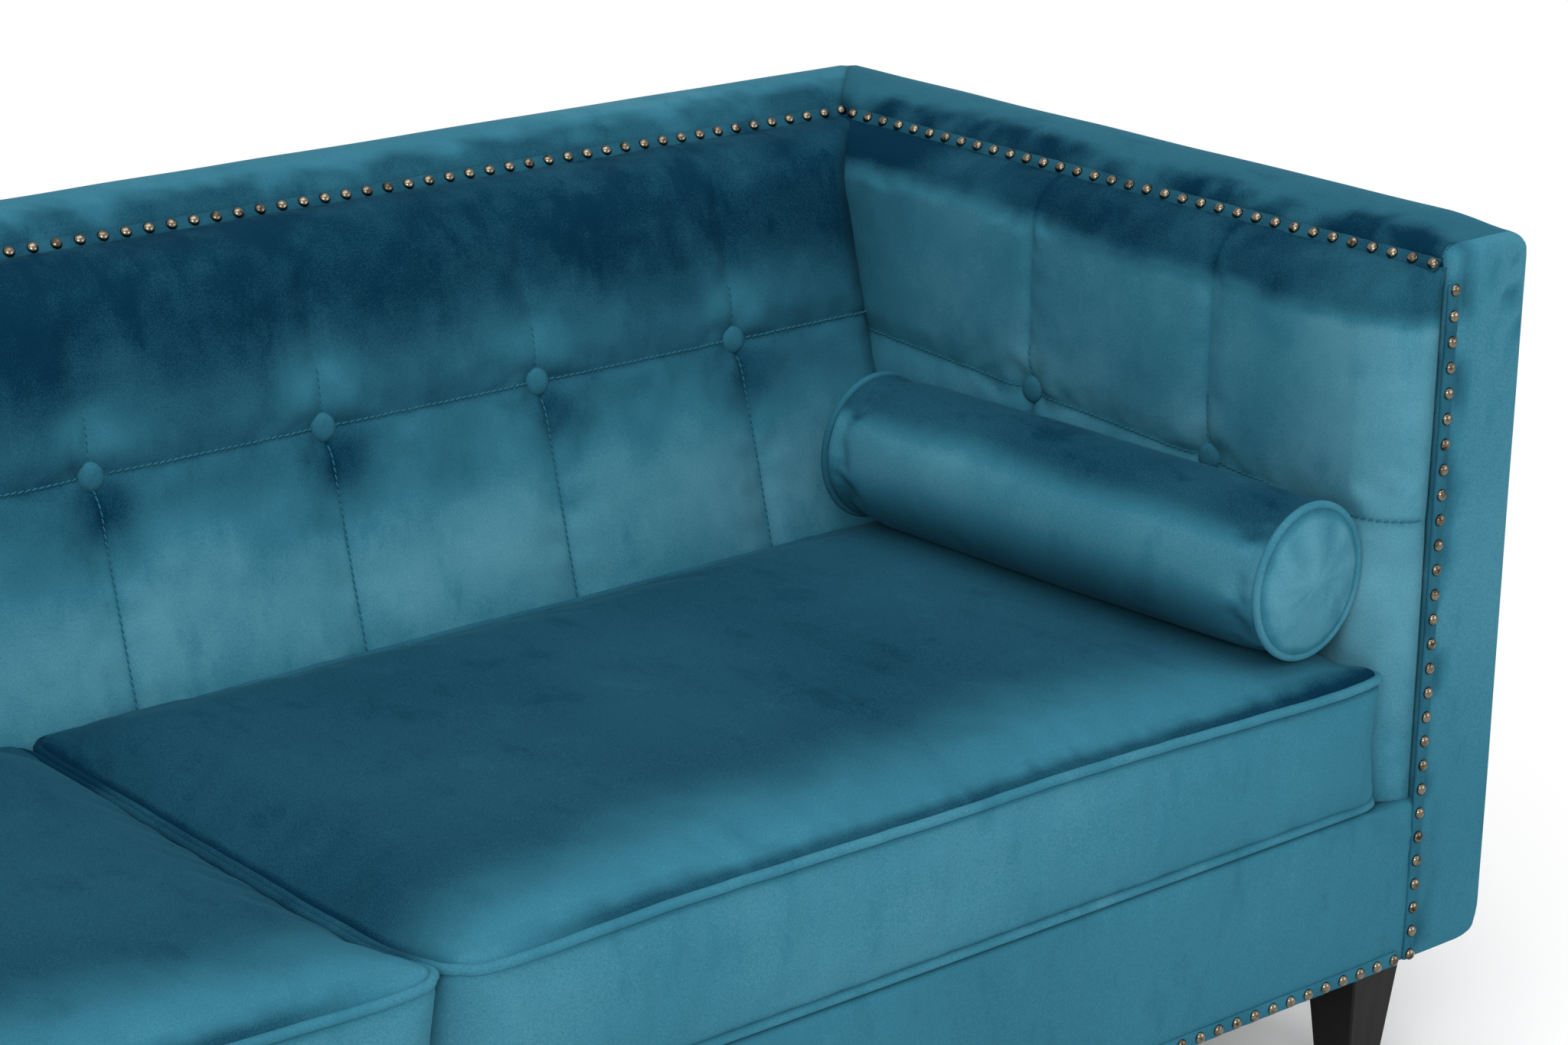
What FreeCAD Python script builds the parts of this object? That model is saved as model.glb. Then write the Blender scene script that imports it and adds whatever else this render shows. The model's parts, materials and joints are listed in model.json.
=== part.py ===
import FreeCAD
import Part
import math
import os
import Sketcher

# Three-seater sofa with level arms and back. Millimetres; +X is right as seen from the front,
# the front faces -Y and the floor is z = 0.

Vector = FreeCAD.Vector

# Driving sizes: name, value, what it measures.
SIZES = [
    ("overall_width", 2130, "outside of one arm to outside of the other"),
    ("overall_depth", 832, "front of the arm facings to the outside back"),
    ("overall_height", 765, "floor to the top of arms and back"),
    ("leg_height", 150, "floor to the underside of the body"),
    ("deck_height", 297, "floor to the deck under the loose cushions"),
    ("band_width", 97, "padded top band, outer face to nail line"),
    ("band_thickness", 30, "padded top band above the top rails"),
    ("band_outer_round", 24, "outer top edge of the band"),
    ("band_inner_round", 12, "inner top edge of the band"),
    ("bottom_round", 30, "lower outer corner of the arms"),
    ("panel_thickness", 4, "covered board on the outside"),
    ("panel_tuck", 12, "outside arm panel turned in under the arm, past its round corner"),
    ("facing_thickness", 14, "padded facing of arm fronts and front rail"),
    ("facing_round", 5, "front edges of the facings"),
    ("timber_thickness", 22, "rails, posts and boards of the frame"),
    ("centre_rail_height", 90, "rail under the middle of the seat"),
    ("arm_slat_height", 60, "slat behind the arm buttons"),
    ("arm_board_thickness", 4, "board behind the arm pad"),
    ("webbing_thickness", 2, "seat and back straps"),
    ("webbing_width", 70, "seat and back straps"),
    ("webbing_space", 60, "between two seat straps"),
    ("back_strap_margin", 20, "back straps inside the seat rails and the top rail"),
    ("back_strap_pitch", 105, "rise from one back strap to the next, at most"),
    ("deck_thickness", 5, "felt and cloth on the seat straps"),
    ("dust_cover_thickness", 1.5, "cloth under the frame"),
    ("leg_top", 58, "side of the square leg at its top"),
    ("leg_bottom", 31, "side of the square leg at its foot"),
    ("leg_edge", 1.5, "chamfered edges of the legs"),
    ("leg_bolt_inset", 12, "leg centre from the inner faces of the rails"),
    ("leg_block", 64, "side of the block that takes a leg"),
    ("leg_block_height", 45, "height of that block"),
    ("leg_plate", 50, "side of the steel plate on a leg"),
    ("leg_plate_thickness", 2.5, "steel plate on a leg"),
    ("bolt_radius", 4, "hanger bolt"),
    ("bolt_in_leg", 35, "hanger bolt below the leg top"),
    ("bolt_in_block", 30, "hanger bolt above the plate"),
    ("bolt_clearance", 0.1, "around the hanger bolt"),
    ("bolt_room", 2, "bore beyond the upper end of the hanger bolt"),
    ("glide_radius", 12, "floor glide"),
    ("glide_height", 4, "floor glide"),
    ("back_rake", 88, "lean of the back frame from its top rail to the seat"),
    ("back_pad_top", 63, "back pad at the top rail"),
    ("back_pad_seat", 92, "back pad at the deck"),
    ("back_seam_height", 586, "floor to the sewn row of back buttons"),
    ("back_button_pitch", 218, "between two back buttons"),
    ("arm_pad_thickness", 40, "arm pad at its fullest"),
    ("arm_seam_back", 571, "floor to the arm seam at the back"),
    ("arm_seam_front", 537, "floor to the arm seam at the front"),
    ("arm_button_back", 15, "rear arm button behind the middle of the depth"),
    ("arm_button_pitch", 214, "between the two arm buttons"),
    ("pad_rise", 13, "pads above the underside of the band"),
    ("pad_lip", 5, "pads where they go under the nails"),
    ("panel_swell", 2, "swell of a tufted panel before its straight face"),
    ("seam_draw", 5, "depth of the sewn cross seam"),
    ("tuft_draw", 9, "extra depth of the seams that run through the buttons"),
    ("button_radius", 12, "covered button"),
    ("button_rim", 2.5, "straight edge of a covered button"),
    ("button_shoulder", 6.3, "height where the button's side turns into its crown"),
    ("button_shoulder_radius", 8.6, "button at that height"),
    ("button_dome", 8, "height of a covered button"),
    ("button_crown_radius", 3.6, "flat top of a covered button"),
    ("button_sink", 2, "button seat below the seam"),
    ("button_clearance", 0.3, "around a button"),
    ("cushion_height", 118, "seat cushion between its two piped edges"),
    ("cushion_crown", 26, "rise of the seat cushion above its upper edge"),
    ("cushion_corner", 24, "seat cushion corners in plan"),
    ("cushion_bulge", 3, "fullness of the cushion sides"),
    ("cushion_draw", 5, "cushion sides drawn in between the corners"),
    ("cushion_gap", 1.5, "between the cushions and what they lie against"),
    ("cushion_setback", 2, "cushion front behind the arm facings"),
    ("cover_thickness", 1.5, "velvet cover of cushions and bolsters"),
    ("soft_clearance", 0.3, "between a soft piece and what it rests on"),
    ("bolster_length", 490, "between the two end seams"),
    ("bolster_radius", 66, "at the middle"),
    ("bolster_end_radius", 63, "at the end seams"),
    ("bolster_end_dome", 9, "fullness of the ends"),
    ("bolster_yaw", 3, "front end turned towards the arm, degrees"),
    ("bolster_middle", 136, "bolster in front of the middle of the depth"),
]

doc = FreeCAD.newDocument("three_seater_sofa")
sheet = doc.addObject("Spreadsheet::Sheet", "Sizes")
for row, (alias, value, meaning) in enumerate(SIZES, start=1):
    sheet.set(f"A{row}", alias)
    sheet.set(f"B{row}", str(value))
    sheet.set(f"C{row}", meaning)
    sheet.setAlias(f"B{row}", alias)
doc.recompute()


def number(expression):
    """Value of an expression over the sheet."""
    return float(sheet.evalExpression(expression))


# Planes that several pieces share, as expressions over the sheet.
HALF_WIDTH = "(Sizes.overall_width / 2)"
HALF_DEPTH = "(Sizes.overall_depth / 2)"
TIMBER = "Sizes.timber_thickness"
NAIL_X = f"({HALF_WIDTH} - Sizes.band_width)"
NAIL_Y = f"({HALF_DEPTH} - Sizes.band_width)"
PANEL_X = f"({HALF_WIDTH} - Sizes.panel_thickness)"
PANEL_Y = f"({HALF_DEPTH} - Sizes.panel_thickness)"
FRONT_Y = f"(Sizes.facing_thickness - {HALF_DEPTH})"
FRONT_INNER_Y = f"({FRONT_Y} + {TIMBER})"
BACK_INNER_Y = f"({PANEL_Y} - {TIMBER})"
SEAT_RAIL_Y = f"({NAIL_Y} - Sizes.back_rake)"
FRAME_BOTTOM = "(Sizes.leg_height + Sizes.leg_plate_thickness)"
ARM_BOTTOM = "(Sizes.leg_height + Sizes.panel_thickness)"
RAIL_TOP = "(Sizes.deck_height - Sizes.deck_thickness - Sizes.webbing_thickness)"
WEBBING_TOP = f"({RAIL_TOP} + Sizes.webbing_thickness)"
BAND_BOTTOM = "(Sizes.overall_height - Sizes.band_thickness)"
TOP_RAIL_BOTTOM = f"({BAND_BOTTOM} - {TIMBER})"
ARM_BOARD_X = f"({NAIL_X} - Sizes.arm_board_thickness)"
ARM_PAD_X = f"({ARM_BOARD_X} - Sizes.arm_pad_thickness)"
TUCK_X = f"({HALF_WIDTH} - Sizes.bottom_round - Sizes.panel_tuck)"
LEG_X = f"({NAIL_X} - Sizes.leg_bolt_inset)"
LEG_FRONT_Y = f"({FRONT_INNER_Y} + Sizes.leg_bolt_inset)"
LEG_BACK_Y = f"({BACK_INNER_Y} - Sizes.leg_bolt_inset)"
LEG_CENTRE_Y = f"(({FRONT_INNER_Y} + {SEAT_RAIL_Y} - {TIMBER}) / 2)"
BORE = "(Sizes.bolt_radius + Sizes.bolt_clearance)"

pieces = []


def keep(piece):
    """Hand a finished sub-part in under its label."""
    pieces.append(piece)
    return piece


def keep_pair(right, name):
    """Hand in a right-hand piece and its mirror image on the left."""
    right.Label = f"{name}_right"
    left = doc.addObject("Part::Mirroring", f"{name}_left")
    left.Source = right
    left.Normal = Vector(1, 0, 0)
    keep(left)
    keep(right)


def board(name, x, y, z):
    """Straight board between two planes on each axis."""
    box = doc.addObject("Part::Box", name)
    for size, (low, high) in zip(("Length", "Width", "Height"), (x, y, z)):
        box.setExpression(size, f"({high}) - ({low})")
    for axis, (low, high) in zip("xyz", (x, y, z)):
        box.setExpression(f"Placement.Base.{axis}", low)
    return box


def rod(name, x, y, low, high, radius):
    """Upright cylinder."""
    cylinder = doc.addObject("Part::Cylinder", name)
    cylinder.setExpression("Radius", radius)
    cylinder.setExpression("Height", f"({high}) - ({low})")
    for axis, place in zip("xyz", (x, y, low)):
        cylinder.setExpression(f"Placement.Base.{axis}", place)
    return cylinder


def cut(name, base, tool):
    result = doc.addObject("Part::Cut", name)
    result.Base = base
    result.Tool = tool
    return result


def group(name, members):
    compound = doc.addObject("Part::Compound", name)
    compound.Links = members
    return compound


def soft(name, shape):
    feature = doc.addObject("Part::Feature", name)
    feature.Shape = shape
    return feature


def new_sketch(body, name, plane, offset):
    sketch = body.newObject("Sketcher::SketchObject", name)
    support = next(item for item in body.Origin.OriginFeatures if item.Role == plane)
    sketch.AttachmentSupport = [(support, "")]
    sketch.MapMode = "FlatFace"
    for axis, place in zip("xyz", offset):
        sketch.setExpression(f"AttachmentOffset.Base.{axis}", place)
    return sketch


def polygon(body, name, plane, points, offset):
    """Closed sketch whose every corner is measured from the sketch origin."""
    sketch = new_sketch(body, name, plane, offset)
    corners = [Vector(number(u), number(v), 0) for u, v in points]
    for start, end in zip(corners, corners[1:] + corners[:1]):
        sketch.addGeometry(Part.LineSegment(start, end), False)
    count = len(points)
    for side in range(count):
        following = (side + 1) % count
        sketch.addConstraint(Sketcher.Constraint("Coincident", side, 2, following, 1))
    for side, corner in enumerate(points):
        for kind, axis, place in zip(("DistanceX", "DistanceY"), (-2, -1), corner):
            if place == "0":
                sketch.addConstraint(Sketcher.Constraint("PointOnObject", side, 1, axis))
                continue
            size = Sketcher.Constraint(kind, -1, 1, side, 1, number(place))
            index = sketch.addConstraint(size)
            sketch.setExpression(f"Constraints[{index}]", place)
    return sketch


def rectangle(body, name, plane, width, height, offset):
    corners = [("0", "0"), (width, "0"), (width, height), ("0", height)]
    return polygon(body, name, plane, corners, offset)


def pad(body, sketch, length):
    feature = body.newObject("PartDesign::Pad", f"{sketch.Name}_pad")
    feature.Profile = sketch
    feature.setExpression("Length", length)
    doc.recompute()
    return feature


def pocket(body, sketch, depth=None):
    feature = body.newObject("PartDesign::Pocket", f"{sketch.Name}_pocket")
    feature.Profile = sketch
    if depth is None:
        feature.Type = "ThroughAll"
    else:
        feature.setExpression("Length", depth)
    doc.recompute()
    return feature


def runs(edge, axis):
    """Whether a straight edge runs along an axis."""
    ends = [vertex.Point for vertex in edge.Vertexes]
    if len(ends) != 2:
        return False
    step = ends[1] - ends[0]
    return all(abs(getattr(step, other)) < 1e-6 for other in "xyz" if other != axis)


def lies(edge, **places):
    """Whether an edge's middle lies on the given planes."""
    middle = edge.CenterOfMass
    return all(abs(getattr(middle, axis) - number(place)) < 0.01 for axis, place in places.items())


def round_off(body, feature, radius, chosen):
    edges = enumerate(feature.Shape.Edges, start=1)
    names = [f"Edge{index}" for index, edge in edges if chosen(edge)]
    fillet = body.newObject("PartDesign::Fillet", f"{feature.Name}_round")
    fillet.Base = (feature, names)
    fillet.setExpression("Radius", radius)
    doc.recompute()
    return fillet


# Seat frame: rails, with the blocks that take the legs.

SEAT_Z = (FRAME_BOTTOM, RAIL_TOP)
BETWEEN_ARMS = (f"-{NAIL_X}", NAIL_X)
ARM_RAIL_X = (NAIL_X, f"{NAIL_X} + {TIMBER}")

keep(board("front_rail", BETWEEN_ARMS, (FRONT_Y, FRONT_INNER_Y), SEAT_Z))
keep(board("back_rail", BETWEEN_ARMS, (BACK_INNER_Y, PANEL_Y), SEAT_Z))
keep(board("seat_back_rail", BETWEEN_ARMS, (f"{SEAT_RAIL_Y} - {TIMBER}", SEAT_RAIL_Y), SEAT_Z))
keep_pair(board("end_rail", ARM_RAIL_X, (FRONT_INNER_Y, NAIL_Y), SEAT_Z), "end_rail")

LEGS = [
    ("front_left", f"-{LEG_X}", LEG_FRONT_Y),
    ("front_right", LEG_X, LEG_FRONT_Y),
    ("back_left", f"-{LEG_X}", LEG_BACK_Y),
    ("back_right", LEG_X, LEG_BACK_Y),
    ("centre", "0", LEG_CENTRE_Y),
]
BOLT_TOP = f"({FRAME_BOTTOM} + Sizes.bolt_in_block)"


def bolt_bore(name, x, y):
    return rod(name, x, y, FRAME_BOTTOM, f"{BOLT_TOP} + Sizes.bolt_room", BORE)


centre_rail_y = (FRONT_INNER_Y, f"{SEAT_RAIL_Y} - {TIMBER}")
centre_rail_z = (FRAME_BOTTOM, f"{FRAME_BOTTOM} + Sizes.centre_rail_height")
centre_stock = board("centre_stock", (f"-{TIMBER} / 2", f"{TIMBER} / 2"), centre_rail_y, centre_rail_z)
keep(cut("centre_rail", centre_stock, bolt_bore("centre_bore", "0", LEG_CENTRE_Y)))

leg_blocks = []
for place, x, y in LEGS[:4]:
    inner_x = f"{NAIL_X} - Sizes.leg_block"
    block_x = (inner_x, NAIL_X) if "right" in place else (f"-{NAIL_X}", f"-({inner_x})")
    front_y = (FRONT_INNER_Y, f"{FRONT_INNER_Y} + Sizes.leg_block")
    back_y = (f"{BACK_INNER_Y} - Sizes.leg_block", BACK_INNER_Y)
    block_y = front_y if "front" in place else back_y
    block_z = (FRAME_BOTTOM, f"{FRAME_BOTTOM} + Sizes.leg_block_height")
    stock = board(f"block_stock_{place}", block_x, block_y, block_z)
    leg_blocks.append(cut(f"block_{place}", stock, bolt_bore(f"block_bore_{place}", x, y)))
keep(group("leg_blocks", leg_blocks))


# Arms and back frame.

front_board = doc.addObject("PartDesign::Body", "arm_front_board")
outline = rectangle(
    front_board,
    "front_board_outline",
    "XZ_Plane",
    f"{PANEL_X} - {NAIL_X}",
    f"{TOP_RAIL_BOTTOM} - {ARM_BOTTOM}",
    (NAIL_X, ARM_BOTTOM, f"-{FRONT_INNER_Y}"),
)
stock = pad(front_board, outline, TIMBER)
round_off(
    front_board,
    stock,
    "Sizes.bottom_round - Sizes.panel_thickness",
    lambda edge: runs(edge, "y") and lies(edge, x=PANEL_X, z=ARM_BOTTOM),
)
keep_pair(front_board, "arm_front_board")

POST_Z = (FRAME_BOTTOM, TOP_RAIL_BOTTOM)
TOP_RAIL_Z = (TOP_RAIL_BOTTOM, BAND_BOTTOM)
ARM_X = (NAIL_X, PANEL_X)
keep_pair(board("back_end_post", ARM_RAIL_X, (NAIL_Y, PANEL_Y), POST_Z), "back_end_post")
keep_pair(board("arm_top_rail", ARM_X, (FRONT_Y, PANEL_Y), TOP_RAIL_Z), "arm_top_rail")
keep(board("back_top_rail", BETWEEN_ARMS, (NAIL_Y, PANEL_Y), TOP_RAIL_Z))

ARM_SEAM_MIDDLE = "((Sizes.arm_seam_back + Sizes.arm_seam_front) / 2)"
slat_z = (
    f"{ARM_SEAM_MIDDLE} - Sizes.arm_slat_height / 2",
    f"{ARM_SEAM_MIDDLE} + Sizes.arm_slat_height / 2",
)
keep_pair(board("arm_slat", ARM_RAIL_X, (FRONT_INNER_Y, NAIL_Y), slat_z), "arm_slat")
inner_board = board("arm_inner_board", (ARM_BOARD_X, NAIL_X), (FRONT_Y, NAIL_Y), (RAIL_TOP, BAND_BOTTOM))
keep_pair(inner_board, "arm_inner_board")


def upright(name, middle):
    """Raked post, notched over the back rail."""
    body = doc.addObject("PartDesign::Body", name)
    profile = [
        (SEAT_RAIL_Y, FRAME_BOTTOM),
        (BACK_INNER_Y, FRAME_BOTTOM),
        (BACK_INNER_Y, RAIL_TOP),
        (PANEL_Y, RAIL_TOP),
        (PANEL_Y, TOP_RAIL_BOTTOM),
        (NAIL_Y, TOP_RAIL_BOTTOM),
        (SEAT_RAIL_Y, RAIL_TOP),
    ]
    offset = ("0", "0", f"{middle} - {TIMBER} / 2")
    pad(body, polygon(body, f"{name}_profile", "YZ_Plane", profile, offset), TIMBER)
    return body


OUTER_UPRIGHT_X = f"({NAIL_X} - Sizes.leg_block - {TIMBER} / 2)"
keep(upright("back_upright_outer_left", f"-{OUTER_UPRIGHT_X}"))
keep(upright("back_upright_inner_left", f"-{OUTER_UPRIGHT_X} / 3"))
keep(upright("back_upright_inner_right", f"{OUTER_UPRIGHT_X} / 3"))
keep(upright("back_upright_outer_right", OUTER_UPRIGHT_X))


# Webbing, deck and dust cover.

seat_straps = []
strap_pitch = number("Sizes.webbing_width + Sizes.webbing_space")
strap_count = int(number(f"2 * {ARM_BOARD_X} - Sizes.webbing_space") // strap_pitch)
for index in range(strap_count):
    middle = f"({index} - {strap_count - 1} / 2) * (Sizes.webbing_width + Sizes.webbing_space)"
    strap_x = (f"{middle} - Sizes.webbing_width / 2", f"{middle} + Sizes.webbing_width / 2")
    seat_straps.append(
        board(f"seat_strap_{index}", strap_x, (FRONT_Y, SEAT_RAIL_Y), (RAIL_TOP, WEBBING_TOP))
    )
keep(group("seat_webbing", seat_straps))

deck_x = (f"-{ARM_BOARD_X}", ARM_BOARD_X)
keep(board("deck_pad", deck_x, (FRONT_Y, SEAT_RAIL_Y), (WEBBING_TOP, "Sizes.deck_height")))

RAKE_HEIGHT = f"({TOP_RAIL_BOTTOM} - {RAIL_TOP})"
RAKE = f"atan(Sizes.back_rake / {RAKE_HEIGHT})"
STRAP_REACH = f"({OUTER_UPRIGHT_X} + {TIMBER} / 2)"
back_straps = []
STRAP_ROOM = f"({RAKE_HEIGHT} - 2 * Sizes.back_strap_margin - Sizes.webbing_width)"
strap_steps = math.ceil(number(f"{STRAP_ROOM} / Sizes.back_strap_pitch"))
for index in range(strap_steps + 1):
    rise = f"(Sizes.back_strap_margin + {STRAP_ROOM} * {index} / {strap_steps})"
    strap = doc.addObject("Part::Box", f"back_strap_{index}")
    strap.setExpression("Length", f"2 * {STRAP_REACH}")
    strap.setExpression("Width", "Sizes.webbing_thickness")
    strap.setExpression("Height", "Sizes.webbing_width")
    strap.Placement = FreeCAD.Placement(Vector(), FreeCAD.Rotation(Vector(1, 0, 0), -10))
    strap.setExpression("Placement.Rotation.Angle", f"-{RAKE}")
    strap.setExpression("Placement.Base.x", f"-{STRAP_REACH}")
    forward = f"Sizes.webbing_thickness * cos({RAKE})"
    lean = f"{rise} * tan({RAKE})"
    strap.setExpression("Placement.Base.y", f"{SEAT_RAIL_Y} + {lean} - {forward}")
    lift = f"Sizes.webbing_thickness * sin({RAKE})"
    strap.setExpression("Placement.Base.z", f"{RAIL_TOP} + {rise} + {lift}")
    back_straps.append(strap)
keep(group("back_webbing", back_straps))

cover_x = (f"-{TUCK_X}", TUCK_X)
cover_z = (f"{FRAME_BOTTOM} - Sizes.dust_cover_thickness", FRAME_BOTTOM)
cloth = board("dust_cloth", cover_x, (FRONT_Y, PANEL_Y), cover_z)
windows = []
for place, x, y in LEGS:
    reach = "(Sizes.leg_plate / 2 + Sizes.soft_clearance)"
    window_x = (f"{x} - {reach}", f"{x} + {reach}")
    window_y = (f"{y} - {reach}", f"{y} + {reach}")
    windows.append(board(f"plate_window_{place}", window_x, window_y, cover_z))
keep(cut("dust_cover", cloth, group("plate_windows", windows)))


# Legs with plates, bolts and glides.


def leg(name, x, y):
    """Square leg, tapered on all four sides, bored for its hanger bolt."""
    body = doc.addObject("PartDesign::Body", name)
    taper = body.newObject("PartDesign::AdditiveWedge", f"{name}_taper")
    for end, side in (("", "Sizes.leg_bottom"), ("2", "Sizes.leg_top")):
        for axis in "XZ":
            taper.setExpression(f"{axis}{end}min", f"-{side} / 2")
            taper.setExpression(f"{axis}{end}max", f"{side} / 2")
    taper.setExpression("Ymin", "Sizes.glide_height")
    taper.setExpression("Ymax", "Sizes.leg_height")
    taper.Placement = FreeCAD.Placement(Vector(), FreeCAD.Rotation(Vector(1, 0, 0), 90))
    taper.setExpression("Placement.Base.x", x)
    taper.setExpression("Placement.Base.y", y)
    doc.recompute()
    half_height = number("Sizes.leg_height") / 2
    edges = enumerate(taper.Shape.Edges, start=1)
    chamfer = body.newObject("PartDesign::Chamfer", f"{name}_edges")
    chamfer.Base = (taper, [f"Edge{index}" for index, edge in edges if edge.BoundBox.ZLength > half_height])
    chamfer.setExpression("Size", "Sizes.leg_edge")
    doc.recompute()
    circle = new_sketch(body, f"{name}_bore", "XY_Plane", (x, y, "Sizes.leg_height"))
    circle.addGeometry(Part.Circle(Vector(), Vector(0, 0, 1), number(BORE)), False)
    circle.addConstraint(Sketcher.Constraint("Coincident", 0, 3, -1, 1))
    index = circle.addConstraint(Sketcher.Constraint("Radius", 0, number(BORE)))
    circle.setExpression(f"Constraints[{index}]", BORE)
    pocket(body, circle, "Sizes.bolt_in_leg")
    return body


plates = []
bolts = []
glides = []
for place, x, y in LEGS:
    keep(leg(f"leg_{place}", x, y))
    plate_x = (f"{x} - Sizes.leg_plate / 2", f"{x} + Sizes.leg_plate / 2")
    plate_y = (f"{y} - Sizes.leg_plate / 2", f"{y} + Sizes.leg_plate / 2")
    blank = board(f"plate_blank_{place}", plate_x, plate_y, ("Sizes.leg_height", FRAME_BOTTOM))
    hole = rod(f"plate_hole_{place}", x, y, "Sizes.leg_height", FRAME_BOTTOM, BORE)
    plates.append(cut(f"plate_{place}", blank, hole))
    bolt_foot = "Sizes.leg_height - Sizes.bolt_in_leg"
    bolts.append(rod(f"bolt_{place}", x, y, bolt_foot, BOLT_TOP, "Sizes.bolt_radius"))
    glides.append(rod(f"glide_{place}", x, y, "0", "Sizes.glide_height", "Sizes.glide_radius"))
keep(group("leg_plates", plates))
keep(group("hanger_bolts", bolts))
keep(group("leg_glides", glides))


# Outside panels, facings and bands.

back_panel = doc.addObject("PartDesign::Body", "outside_back_panel")
outline = rectangle(
    back_panel,
    "back_panel_outline",
    "XZ_Plane",
    "Sizes.overall_width",
    f"{BAND_BOTTOM} - Sizes.leg_height",
    (f"-{HALF_WIDTH}", "Sizes.leg_height", f"-{HALF_DEPTH}"),
)
stock = pad(back_panel, outline, "Sizes.panel_thickness")
round_off(
    back_panel,
    stock,
    "Sizes.bottom_round",
    lambda edge: runs(edge, "y") and lies(edge, z="Sizes.leg_height"),
)
keep(back_panel)

arm_panel = doc.addObject("PartDesign::Body", "outside_arm_panel")
profile = [
    (TUCK_X, "Sizes.leg_height"),
    (HALF_WIDTH, "Sizes.leg_height"),
    (HALF_WIDTH, BAND_BOTTOM),
    (PANEL_X, BAND_BOTTOM),
    (PANEL_X, ARM_BOTTOM),
    (TUCK_X, ARM_BOTTOM),
]
outline = polygon(arm_panel, "arm_panel_profile", "XZ_Plane", profile, ("0", "0", f"-{PANEL_Y}"))
stock = pad(arm_panel, outline, f"{PANEL_Y} - {FRONT_Y}")
stock = round_off(
    arm_panel,
    stock,
    "Sizes.bottom_round",
    lambda edge: runs(edge, "y") and lies(edge, x=HALF_WIDTH, z="Sizes.leg_height"),
)
round_off(
    arm_panel,
    stock,
    "Sizes.bottom_round - Sizes.panel_thickness",
    lambda edge: runs(edge, "y") and lies(edge, x=PANEL_X, z=ARM_BOTTOM),
)
keep_pair(arm_panel, "outside_arm_panel")

facing = doc.addObject("PartDesign::Body", "arm_facing")
outline = rectangle(
    facing,
    "facing_outline",
    "XZ_Plane",
    "Sizes.band_width",
    "Sizes.overall_height - Sizes.leg_height",
    (NAIL_X, "Sizes.leg_height", f"-{FRONT_Y}"),
)
stock = pad(facing, outline, "Sizes.facing_thickness")
stock = round_off(
    facing,
    stock,
    "Sizes.band_outer_round",
    lambda edge: runs(edge, "y") and lies(edge, x=HALF_WIDTH, z="Sizes.overall_height"),
)
stock = round_off(
    facing,
    stock,
    "Sizes.bottom_round",
    lambda edge: runs(edge, "y") and lies(edge, x=HALF_WIDTH, z="Sizes.leg_height"),
)
round_off(facing, stock, "Sizes.facing_round", lambda edge: lies(edge, y=f"-{HALF_DEPTH}"))
keep_pair(facing, "arm_facing")

rail_cover = doc.addObject("PartDesign::Body", "front_rail_cover")
outline = rectangle(
    rail_cover,
    "rail_cover_outline",
    "XZ_Plane",
    f"2 * {NAIL_X}",
    "Sizes.deck_height - Sizes.leg_height",
    (f"-{NAIL_X}", "Sizes.leg_height", f"-{FRONT_Y}"),
)
stock = pad(rail_cover, outline, "Sizes.facing_thickness")
round_off(
    rail_cover,
    stock,
    "Sizes.facing_round",
    lambda edge: runs(edge, "x") and lies(edge, y=f"-{HALF_DEPTH}"),
)
keep(rail_cover)

arm_band = doc.addObject("PartDesign::Body", "arm_band")
outline = rectangle(
    arm_band,
    "arm_band_section",
    "XZ_Plane",
    "Sizes.band_width",
    "Sizes.band_thickness",
    (NAIL_X, BAND_BOTTOM, f"-{HALF_DEPTH}"),
)
stock = pad(arm_band, outline, f"{HALF_DEPTH} - {FRONT_Y}")
for radius, edge_x in (("Sizes.band_outer_round", HALF_WIDTH), ("Sizes.band_inner_round", NAIL_X)):
    stock = round_off(
        arm_band,
        stock,
        radius,
        lambda edge: runs(edge, "y") and lies(edge, x=edge_x, z="Sizes.overall_height"),
    )
corner = [(NAIL_X, NAIL_Y), (HALF_WIDTH, HALF_DEPTH), (NAIL_X, HALF_DEPTH)]
above = ("0", "0", "Sizes.overall_height")
pocket(arm_band, polygon(arm_band, "arm_band_mitre", "XY_Plane", corner, above))
keep_pair(arm_band, "arm_band")

back_band = doc.addObject("PartDesign::Body", "back_band")
outline = rectangle(
    back_band,
    "back_band_section",
    "YZ_Plane",
    "Sizes.band_width",
    "Sizes.band_thickness",
    (NAIL_Y, BAND_BOTTOM, f"-{HALF_WIDTH}"),
)
stock = pad(back_band, outline, "Sizes.overall_width")
for radius, edge_y in (("Sizes.band_outer_round", HALF_DEPTH), ("Sizes.band_inner_round", NAIL_Y)):
    stock = round_off(
        back_band,
        stock,
        radius,
        lambda edge: runs(edge, "x") and lies(edge, y=edge_y, z="Sizes.overall_height"),
    )
right_end = [("0", "0"), ("Sizes.band_width", "0"), ("Sizes.band_width", "Sizes.band_width")]
left_end = [("0", "Sizes.band_width"), ("0", "0"), ("Sizes.band_width", "0")]
for side, end, edge_x in (("right", right_end, NAIL_X), ("left", left_end, f"-{HALF_WIDTH}")):
    place = (edge_x, NAIL_Y, "Sizes.overall_height")
    pocket(back_band, polygon(back_band, f"back_band_mitre_{side}", "XY_Plane", end, place))
keep(back_band)


# Tufted pads: each column is a loft from seam to seam through its full middle.

def line(start, end):
    return Part.LineSegment(start, end).toShape()


def arc(start, middle, end):
    return Part.Arc(start, middle, end).toShape()


def between(low, high, share):
    return low + (high - low) * share


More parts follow.
